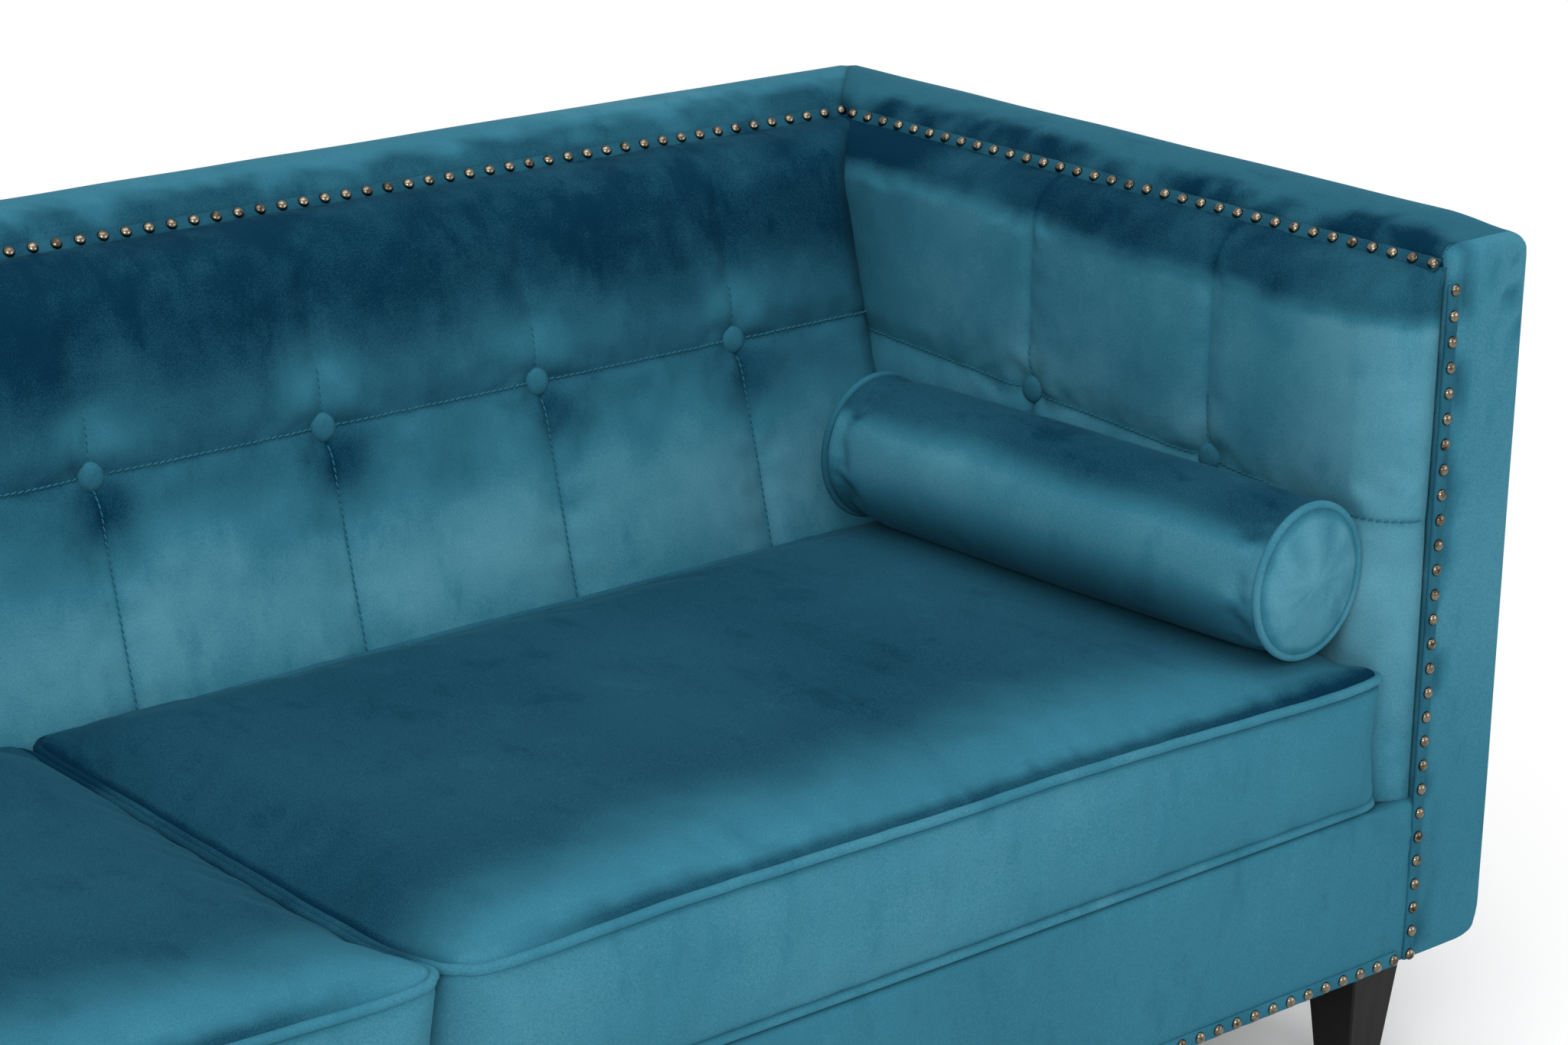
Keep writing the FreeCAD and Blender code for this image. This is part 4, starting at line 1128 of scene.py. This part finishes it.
def arm_nap_and_shade(co, normal):
    """Light face, lighter towards the front; painted shade on the top roll under the band, a painted
    shadow under each button and a painted highlight above it, painted shade in the seams; darker towards
    the bottom and the rear.
    """
    up = co.z - arm_seam(co.y)
    beside = nearest(co.y, ARM_COLUMNS)
    tone = 0.08 + 0.08 * ease(0.02, -0.10, up) + 0.16 * ease(-0.24, -0.36, co.y)
    tone -= 0.24 * ease(0.46, 0.34, co.z)
    fuzz = 0.004 * ripple(co, 0.11, 5) + 0.004 * ripple(co, 0.024, 3)
    edge = ARM_RISE + 0.016 * ease(-0.20, 0.30, co.y)
    tone -= 0.50 * ease(edge - 0.010, edge + 0.012, co.z + fuzz)
    # Painted shadow under each button, and painted highlight above it.
    tone -= 0.26 * bell(beside, 0.026) * bell(up + 0.034, 0.026)
    tone -= 0.22 * ease(0.12, 0.24, co.y) * ease(-0.2, 0.1, up)
    tone += 0.14 * bell(beside, 0.030) * bell(up - 0.028, 0.020)
    tone -= 0.08 * bell(up, SEAM_WIDTH) + 0.08 * bell(beside, 0.003)
    return tone + 0.08 * ripple(co, 0.07, 6) + 0.05 * ripple(co, 0.018, 5)


brush_and_shade(arm_pad, arm_nap_and_shade)
subdivide_once(arm_pad)
add_left(arm_pad)
print("arm pads:", len(arm_pad.data.polygons), "faces each")

# %% [markdown]
# ## Buttons and stitches
#
# A covered button is a domed disc with velvet pressed round it. It sits where two seams cross, so
# its place and direction are read from the pad itself. The stitches are short round threads laid
# along the seam, each a little askew, which gives a seam its rope-like look.

# %% Buttons
def facing_matrix(place, out, along=None):
    """Frame at a place whose Z looks out and whose X runs along."""
    side = along if along is not None else Vector((0.3, 0.5, 0.8))
    across = out.cross(side).normalized()
    along = across.cross(out)
    turn = Matrix((along, across, out)).transposed().to_4x4()
    return Matrix.Translation(place) @ turn


BUTTON_RADIUS = 0.0124
BUTTON_RISE = 0.0052


def add_button(bm, place, out):
    """Domed disc with a soft rim."""
    flat = Matrix.Diagonal((BUTTON_RADIUS, BUTTON_RADIUS, BUTTON_RISE, 1))
    made = bmesh.ops.create_uvsphere(bm, u_segments=32, v_segments=16, radius=1)["verts"]
    for vert in made:
        ring = math.hypot(vert.co.x, vert.co.y)
        if ring > 0:
            full = min(1, ring ** 0.75) / ring
            vert.co.x *= full
            vert.co.y *= full
    bmesh.ops.transform(bm, matrix=facing_matrix(place, out) @ flat, verts=made)


def add_buttons(name, node, piece, grid, lift):
    """Covers of the buttons, where the seams of a pad cross."""
    bm = bmesh.new()
    for column in grid.seam_columns:
        vert = piece.data.vertices[grid_index(grid, column, grid.seam_row)]
        add_button(bm, vert.co + vert.normal * lift, vert.normal)
    buttons = add_cover(bm, name, [node])
    # Button covers are a little lighter where they face up: painted light on their tops.
    brush_and_shade(buttons, lambda co, normal: 0.08 * normal.z - 0.13 + 0.06 * ripple(co, 0.008, 3))
    return buttons


add_buttons("back_button_covers", "back_buttons", back_pad, back_grid, 0.0046)
add_left(add_buttons("arm_button_covers_right", "arm_buttons_right", arm_pad, arm_grid, 0.0060))
print("buttons:", len(BACK_COLUMNS), "on the back and", len(ARM_COLUMNS), "on each arm")

# %% Stitches
STITCH_PITCH = 0.0062
STITCH_SIZE = (0.0032, 0.0009, 0.0009)
STITCH_ASKEW = 0.22
STITCH_NAP = -0.08
BUTTON_CLEAR = 0.014
STITCHES_ABOVE = 0.05


def stamp(bm, shape, matrix):
    """Adds a copy of a small mesh, moved by a matrix."""
    copy = shape.copy()
    copy.transform(matrix)
    bm.from_mesh(copy)
    bpy.data.meshes.remove(copy)


bm = bmesh.new()
bmesh.ops.create_uvsphere(bm, u_segments=6, v_segments=4, radius=1)
bmesh.ops.rotate(bm, cent=(0, 0, 0), matrix=Matrix.Rotation(math.pi / 2, 3, "Y"), verts=bm.verts)
bmesh.ops.scale(bm, vec=STITCH_SIZE, verts=bm.verts)
thread = to_mesh("thread", bm)


def stitch(bm, path, skip, lift):
    """Threads along a path of (place, out), leaving out what lies near the buttons."""
    travelled = 0
    due = 0
    for (start, out), (end, _) in zip(path, path[1:]):
        step = (end - start).length
        while due < travelled + step:
            place = start.lerp(end, (due - travelled) / step)
            due += STITCH_PITCH
            if any((place - spot).length < BUTTON_CLEAR for spot in skip):
                continue
            along = (end - start).normalized()
            along = (along + out.cross(along) * STITCH_ASKEW).normalized()
            stamp(bm, thread, facing_matrix(place + out * lift, out, along))
        travelled += step


def add_stitches(name, piece, grid):
    """Stitches along the row seam, and along the column seams to a little above the buttons."""
    bm = bmesh.new()
    verts = piece.data.vertices
    wide = len(grid.columns)
    skip = [verts[grid_index(grid, column, grid.seam_row)].co for column in grid.seam_columns]
    highest = skip[0].z + STITCHES_ABOVE
    first = grid_index(grid, grid.columns[0], grid.seam_row)
    row = [verts[number] for number in range(first + 1, first + wide - 1)]
    stitch(bm, [(vert.co, vert.normal) for vert in row], skip, 0.0018)
    for column in grid.seam_columns:
        first = grid_index(grid, column, grid.rows[0])
        last = first + wide * (len(grid.rows) - 1)
        rising = [verts[number] for number in range(first + wide, last, wide)]
        stitch(bm, [(vert.co, vert.normal) for vert in rising if vert.co.z < highest], skip, 0.0006)
    stitches = add_cover(bm, name)
    brush_and_shade(stitches, lambda co, normal: STITCH_NAP)
    return stitches


add_stitches("back_stitches", back_pad, back_grid)
add_left(add_stitches("arm_stitches_right", arm_pad, arm_grid))
print("stitches along every seam of the pads")

# %% [markdown]
# ## Seat cushions
#
# A box cushion has a top and a bottom panel joined by a strip, the boxing, with piping in both
# seams. The core fills it, so the top panel stands up steeply behind its piping and is nearly flat
# in the middle. The front seam is highest in the middle and sinks towards both ends, with a small
# ear at each front corner. At the rear and where the cushions meet, the seam lies lower.

# %% Cushion form
cushion_low, cushion_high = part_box("seat_cushion_cover_right")
CUSHION_ROUND = 0.028
CORNER_BULGE = 0.014
SEAM_TOP = 0.4145
SEAM_DEPTH = 0.0045
EAR = 0.0045
EAR_WIDTH = 0.030
HIDDEN_DROP = 0.011
CUSHION_RAKE = 0.28
SHOULDER = 0.21
SHOULDER_POWER = 2.3
CROWN = cushion_high.z - SEAM_TOP


def seam_height(x, y):
    """Height of the top seam: ears at the front corners, lower at the rear and between cushions."""
    share = (x - cushion_low.x) / (cushion_high.x - cushion_low.x)
    ahead = ease(cushion_high.y, cushion_low.y, y)
    sink = 0.006 * (1 - share) ** 4 + 0.013 * share ** 3
    ear = 0
    for corner_x in (cushion_low.x, cushion_high.x):
        for corner_y in (cushion_low.y, cushion_high.y):
            ear += EAR * bell(math.hypot(x - corner_x, y - corner_y), EAR_WIDTH)
    between = ease(cushion_low.x + 0.05, cushion_low.x + 0.012, x) * ease(FRONT + 0.02, FRONT + 0.11, y)
    hidden = HIDDEN_DROP * max(ease(cushion_high.y - 0.10, cushion_high.y - 0.03, y), between)
    wavy = 0.0022 * ripple((x, y, 0), 0.14, 3) + 0.0006 * ripple((x, y, 0), 0.04, 5)
    in_front = 1 - ease(-0.1, 0.05, y)
    return SEAM_TOP + 0.005 * ahead - sink * ahead + ear * in_front - hidden + wavy


def cushion_point(unit):
    """Place of a point of a unit cube on the cushion."""
    a, b, c = unit
    low = Vector((cushion_low.x + 0.0005, cushion_low.y + 0.0015))
    high = Vector((cushion_high.x - 0.0005, SEAT_DEPTH - 0.0075))
    middle = (low + high) / 2
    height = mix(DECK, SEAM_TOP, c)
    rake = CUSHION_RAKE * (height - DECK) * b ** 3
    x = mix(low.x, high.x, a)
    y = mix(low.y, high.y, b)
    gap = min(x - low.x, high.x - x, y - low.y, high.y - y)
    reach = [math.copysign(CUSHION_ROUND, x - middle.x), math.copysign(CUSHION_ROUND, y - middle.y)]
    centre_x = math.copysign((high.x - low.x) / 2 - CUSHION_ROUND, x - middle.x) + middle.x
    centre_y = math.copysign((high.y - low.y) / 2 - CUSHION_ROUND, y - middle.y) + middle.y
    x, y = round_off(x, y, (centre_x, centre_y), reach)
    x += CORNER_BULGE * ease(high.x - 0.08, high.x, x) * ease(FRONT + 0.045, FRONT + 0.008, y)
    on_side = c not in (0, 1)
    if on_side:
        draw = 0.0024 * math.sin(math.pi * c) + 0.0008 * ripple((x, y, height), 0.07, 5)
        x -= draw * math.copysign(ease(0.40, 0.5, abs(a - 0.5)), x - middle.x)
        y -= draw * math.copysign(ease(0.40, 0.5, abs(b - 0.5)), y - middle.y)
    elif gap < 1e-6:
        inward = middle - Vector((x, y))
        x += math.copysign(SEAM_DEPTH * (a in (0, 1)), inward.x)
        y += math.copysign(SEAM_DEPTH * (b in (0, 1)), inward.y)
    y += rake
    if c == 0:
        return Vector((x, y, DECK + 0.0006 + 0.004 * (1 - roll(gap, 0.02))))
    top = seam_height(x, y)
    if on_side:
        return Vector((x, y, mix(DECK + 0.0046, top, c)))
    fullness = (1 - (1 - min(gap / SHOULDER, 1)) ** SHOULDER_POWER) ** (1 / SHOULDER_POWER)
    pucker = 0.0012 * bell(gap - 0.012, 0.014) * ripple((x, y, 2), 0.016, 7)
    return Vector((x, y, top + (CROWN - 0.004) * fullness + pucker))


print("cushion crown", round(CROWN * 1000, 1), "mm over its seams")

# %% Seat cushions
def fine_box(counts):
    """Unit cube from 0 to 1 with each direction cut into a number of parts."""
    bm = bmesh.new()
    bmesh.ops.create_cube(bm, size=1, matrix=Matrix.Translation((0.5, 0.5, 0.5)))
    for axis, count in enumerate(counts):
        along = []
        for edge in bm.edges:
            step = edge.verts[1].co - edge.verts[0].co
            if abs(step[axis]) > 0.5:
                along.append(edge)
        bmesh.ops.subdivide_edges(bm, edges=along, cuts=count - 1, use_grid_fill=True)
    return bm


CUSHION_FILL = 0.85
CUSHION_PARTS = (100, 64, 14)
bm = fine_box(CUSHION_PARTS)
units = []
for vert in bm.verts:
    unit = tuple(round(value * parts) / parts for value, parts in zip(vert.co, CUSHION_PARTS))
    units.append(unit)
    vert.co = cushion_point(unit)
bmesh.ops.recalc_face_normals(bm, faces=bm.faces)
cushion = add_cover(
    bm,
    "seat_cushion_velvet_right",
    ["seat_cushion_cover_right", "seat_cushion_core_right"],
    CUSHION_FILL,
    "seat_cushion_right",
    SEAT_VELVET,
)


def on_rim(unit):
    return unit[0] in (0, 1) or unit[1] in (0, 1)


def loop_numbers(level):
    """Vertices of a seam in order around the cushion."""
    rim = [number for number, unit in enumerate(units) if unit[2] == level and on_rim(unit)]
    return sorted(rim, key=lambda number: math.atan2(units[number][1] - 0.5, units[number][0] - 0.5))


held = [number for number, unit in enumerate(units) if unit[2] == 0 or (unit[2] == 1 and on_rim(unit))]
settle(cushion, held, pressure=3.0, slack=0.010, cap=0.007)
print("cushion:", len(cushion.data.polygons), "faces")

# %% Cushion nap with painted light and shade
def cushion_nap_and_shade(co, normal):
    """Dark top (painted shade where it faces up) that lightens towards the front roll (painted light),
    with painted shade behind the front piping and along the sides; even, lighter boxing that is darker
    towards the arm end.
    """
    if co.z < seam_height(co.x, co.y) - 0.003:
        return 0.09 - 0.07 * ease(0.5, 0.9, co.x) + 0.05 * ripple(co, 0.15, 8)
    uneven = 0.03 * ripple(co, 0.2, 2) + 0.012 * ripple(co, 0.03, 5)
    front = ease(FRONT + 0.15, FRONT + 0.01, co.y + uneven)
    tone = -0.38 + 0.46 * front * ease(1.1, 0.3, co.x) + 0.20 * front * ease(0.3, 1.1, co.x)
    beside = min(co.x - cushion_low.x, cushion_high.x - co.x)
    crease = ease(0.025, 0.012, co.y - cushion_low.y + 0.004 * ripple(co, 0.012, 4))
    tone -= 0.42 * crease * ease(0.02, 0.16, co.x) + 0.30 * ease(0.012, 0.003, beside)
    return tone + 0.06 * ripple(co, 0.22, 9) + 0.05 * ease(0.2, 0.9, co.x)


brush_and_shade(cushion, cushion_nap_and_shade)
print("cushion brushed")

# %% Cushion piping
PIPING_RADIUS = 0.0042
PIPING_SIDES = 10


def add_piping(bm, path, radius, axis):
    """Round cord along a closed path, with its ring square to the path."""
    count = len(path)

    def place(index, step):
        angle = 2 * math.pi * step / PIPING_SIDES
        along = (path[(index + 1) % count] - path[index - 1]).normalized()
        across = along.cross(axis).normalized()
        up = across.cross(along)
        return path[index % count] + (across * math.cos(angle) + up * math.sin(angle)) * radius

    cord = sheet(list(range(count + 1)), list(range(PIPING_SIDES)) + [0], place)
    bmesh.ops.remove_doubles(cord, verts=cord.verts, dist=1e-5)
    bmesh.ops.recalc_face_normals(cord, faces=cord.faces)
    mesh = to_mesh("cord", cord)
    bm.from_mesh(mesh)
    bpy.data.meshes.remove(mesh)


def piping_nap_and_shade(co, normal):
    """Light in front, painted shade where the cushions meet, and darker along the rear."""
    between = ease(0.03, 0.012, abs(co.x)) * ease(FRONT + 0.02, FRONT + 0.07, co.y)
    return 0.06 - 0.42 * between - 0.3 * ease(0.0, 0.1, co.y) + 0.08 * ripple(co, 0.05, 2)


middle = (cushion_low + cushion_high) / 2
bm = bmesh.new()
for level, lift in ((0, 0.0002), (1, 0.0005)):
    path = []
    for number in loop_numbers(level):
        spot = cushion.data.vertices[number].co
        inward = Vector((middle.x - spot.x, middle.y - spot.y, 0)).normalized()
        path.append(spot - inward * (SEAM_DEPTH - 0.0022) + Vector((0, 0, lift)))
    add_piping(bm, path, PIPING_RADIUS, Vector((0, 0, 1)))
piping = add_cover(bm, "seat_cushion_piping_right", body="seat_cushion_right")
brush_and_shade(piping, piping_nap_and_shade)
for piece in (cushion, piping):
    subdivide_once(piece)
    add_left(piece)
print("piping in both seams of each cushion")

# %% [markdown]
# ## Bolsters
#
# A bolster is a sewn tube with a round cap at each end and piping between. It lies at a slight
# angle along the arm and stays round, because the core fills it well.

# %% Bolsters
bolster_low, bolster_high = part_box("bolster_cover_right")
BOLSTER_YAW = math.radians(3)
BOLSTER_RADIUS = (bolster_high.z - bolster_low.z) / 2
BOLSTER_CENTRE = (bolster_low + bolster_high) / 2
BOLSTER_HALF = 0.245
BOLSTER_DOME = 0.009
BOLSTER_TAPER = 0.035
BOLSTER_SIDES = 72
BOLSTER_PARTS = 66
bolster_axis = Vector((math.sin(BOLSTER_YAW), -math.cos(BOLSTER_YAW), 0))
bolster_side = Vector((math.cos(BOLSTER_YAW), math.sin(BOLSTER_YAW), 0))
CAP_RINGS = [0, 0.15, 0.3, 0.45, 0.6, 0.72, 0.82, 0.9, 0.95, 0.98]
bolster_profile = [(-1, share) for share in CAP_RINGS]
bolster_profile += [(along, 1) for along in lengths(-1, 1, 2 / BOLSTER_PARTS)]
bolster_profile += [(1, share) for share in reversed(CAP_RINGS)]
BOLSTER_RING = [2 * math.pi * step / BOLSTER_SIDES for step in range(BOLSTER_SIDES)]


def bolster_out(angle):
    """Direction out of the bolster's side at an angle around it."""
    return bolster_side * math.cos(angle) + Vector((0, 0, math.sin(angle)))


def bolster_point(station, angle):
    """Point of the bolster: a side that narrows to its ends, and domed, gathered caps."""
    along, share = bolster_profile[station]
    axial = along * BOLSTER_HALF
    radius = BOLSTER_RADIUS * (1 - BOLSTER_TAPER * abs(along) ** 3)
    turn = Vector((along, math.cos(angle), math.sin(angle)))
    if share < 1:
        axial += math.copysign(BOLSTER_DOME * (1 - share ** 2.4), along)
        gathers = 0.0024 * share * (1 - share) * math.sin(9 * angle + 3 * math.sin(2 * angle))
        axial += math.copysign(1, along) * gathers
        radius *= share
    else:
        end = 1 - abs(along)
        radius += 0.0011 * bell(end - 0.05, 0.06) * ripple(turn * 3, 0.35, 4)
        radius += 0.0010 * ripple(turn, 0.5, 6)
        radius -= 0.0016 * bell(end, 0.018)
    return BOLSTER_CENTRE + bolster_axis * axial + bolster_out(angle) * radius


bm = tube(list(range(len(bolster_profile))), BOLSTER_RING, bolster_point)
bolster = add_cover(
    bm,
    "bolster_velvet_right",
    ["bolster_cover_right", "bolster_core_right"],
    CUSHION_FILL,
    "bolster_right",
)


def bolster_place(co):
    """Distance along the bolster and from its axis."""
    offset = co - BOLSTER_CENTRE
    along = offset.dot(bolster_axis)
    return along, (offset - bolster_axis * along).length


held = []
for vert in bolster.data.vertices:
    along, out = bolster_place(vert.co)
    if abs(abs(along) - BOLSTER_HALF) < 0.003 and out > BOLSTER_RADIUS * 0.92:
        held.append(vert.index)
settle(bolster, held, pressure=2.5, slack=0.012, cap=0.004)
print("bolsters:", len(bolster.data.polygons), "faces each")

# %% Bolster nap with painted light and shade, and piping
END_PIPING_RADIUS = 0.0036
END_SEAM_RADIUS = BOLSTER_RADIUS * 0.962


def bolster_nap_and_shade(co, normal):
    """Painted light and shade by which way the side faces: darker on top, lighter on the flank, a
    painted shadow below; light mottled caps that are darker towards the rim.
    """
    if abs(normal.dot(bolster_axis)) > 0.6:
        rim = ease(BOLSTER_RADIUS * 0.80, BOLSTER_RADIUS * 0.94, bolster_place(co)[1])
        return 0.16 - 0.26 * rim + 0.12 * ripple(co, 0.02, 3)
    tone = mix(-0.20, 0.12, ease(-0.5, 0.15, normal.z)) - 0.48 * ease(0.45, 0.85, normal.z)
    return tone + 0.08 * ripple(co, 0.08, 2)


brush_and_shade(bolster, bolster_nap_and_shade)
bm = bmesh.new()
for end in (-BOLSTER_HALF, BOLSTER_HALF):
    seam = BOLSTER_CENTRE + bolster_axis * end
    path = [seam + bolster_out(angle) * END_SEAM_RADIUS for angle in BOLSTER_RING]
    add_piping(bm, path, END_PIPING_RADIUS, bolster_axis)
cords = add_cover(bm, "bolster_piping_right", body="bolster_right")
brush_and_shade(cords, lambda co, normal: 0.08 - 0.24 * ease(-0.1, 0.1, co.y) + 0.08 * ripple(co, 0.04, 2))
for piece in (bolster, cords):
    subdivide_once(piece)
    add_left(piece)
print("piping at both ends of each bolster")

# %% [markdown]
# ## Nail heads on a strip
#
# Domed brass nails hold a narrow strip of the same velvet over the raw edge where two covers meet.
# A row is a path with an outward direction; nails stand on it at one pitch. A nail is half of a
# small sphere, cut off by a plane, and each row is one mesh.

# %% Rows of nails
NAIL_RADIUS = 0.0051
NAIL_FLATNESS = 0.72
NAIL_LIFT = 0.0014
FRONT_NAIL = Vector((0, -1, 0))
VALLEY_OFFSET = 0.0055
VALLEY_IN = 0.75
VALLEY_UP = 0.66
nail_rows = []


def nail_row(name, start, end, out):
    """Remembers a straight row and the direction that its nails look in."""
    nail_rows.append((name, Vector(start), Vector(end), Vector(out).normalized()))


valley_x = NAIL_X - VALLEY_OFFSET
valley_y = NAIL_Y - VALLEY_OFFSET
valley_z = NAIL_Z + 0.0045
front_y = FRONT - 0.0012
foot_z = FOOT + 0.0075
foot_end = NAIL_X - 0.019
back_out = (0, -VALLEY_IN, VALLEY_UP)
nail_row("back", (-valley_x, valley_y, valley_z), (valley_x, valley_y, valley_z), back_out)
for side, sign in (("right", 1), ("left", -1)):
    x = sign * valley_x
    start = (x, valley_y - 0.018, valley_z)
    nail_row("arm_" + side, start, (x, FRONT + 0.016, valley_z), (-VALLEY_IN * sign, 0, VALLEY_UP))
    x = sign * (NAIL_X + 0.001)
    nail_row("front_" + side, (x, front_y, NAIL_Z - 0.014), (x, front_y, foot_z), FRONT_NAIL)
nail_row("foot", (-foot_end, front_y, foot_z), (foot_end, front_y, foot_z), FRONT_NAIL)


def row_places(start, end):
    """Places of a row's nails, with one at each end."""
    count = round((end - start).length / NAIL_PITCH)
    return [start.lerp(end, step / count) for step in range(count + 1)]


bm = bmesh.new()
bmesh.ops.create_uvsphere(bm, u_segments=12, v_segments=8, radius=NAIL_RADIUS)
bmesh.ops.scale(bm, vec=(1, 1, NAIL_FLATNESS), verts=bm.verts)
bmesh.ops.bisect_plane(
    bm,
    geom=bm.verts[:] + bm.edges[:] + bm.faces[:],
    plane_co=(0, 0, -0.0003),
    plane_no=(0, 0, -1),
    clear_outer=True,
)
bmesh.ops.holes_fill(bm, edges=[edge for edge in bm.edges if edge.is_boundary], sides=0)
bmesh.ops.recalc_face_normals(bm, faces=bm.faces)
nail = to_mesh("nail", bm)

total = 0
for name, start, end, out in nail_rows:
    bm = bmesh.new()
    for place in row_places(start, end):
        stamp(bm, nail, facing_matrix(place + out * NAIL_LIFT, out))
        total += 1
    add_piece(bm, "nails_" + name, BRASS, "frame", "steel")
print("nails:", total)

# %% Velvet strip
TAPE_HALF = 0.0062
TAPE_RISE = 0.0014
TAPE_OVERHANG = 0.004
# Painted shade on the strips: deepest on the rows in the valley under the bands, less on the arm fronts,
# least at the foot.
STRIP_SHADES = {"foot": -0.06, "front": -0.17, "arm": -0.30, "back": -0.30}


def tape(start, end, out):
    """Strip under a row: a shallow ridge with soft edges and a dip at every nail."""
    along = (end - start).normalized()
    across = out.cross(along).normalized()
    reach = (end - start).length

    def place(length, ring_point):
        side, lift = ring_point
        dip = 0.0006 * at_nails(length)
        wave = 0.0005 * ripple((length, side, 0), 0.03, 5)
        return start + along * length + across * (side + wave) + out * (lift - dip * (lift > 0))

    ring = [(-TAPE_HALF, -0.002), (-TAPE_HALF, 0.0005), (-TAPE_HALF * 0.8, TAPE_RISE)]
    ring += [(TAPE_HALF * 0.8, TAPE_RISE), (TAPE_HALF, 0.0005), (TAPE_HALF, -0.002)]
    return tube(lengths(-TAPE_OVERHANG, reach + TAPE_OVERHANG, 0.005), ring, place)


for name, start, end, out in nail_rows:
    strip = add_cover(tape(start, end, out), "strip_" + name)
    base = STRIP_SHADES[name.split("_")[0]]
    brush_and_shade(strip, lambda co, normal: base + 0.12 * ripple(co, 0.03, 4))
print("strips:", len(nail_rows))
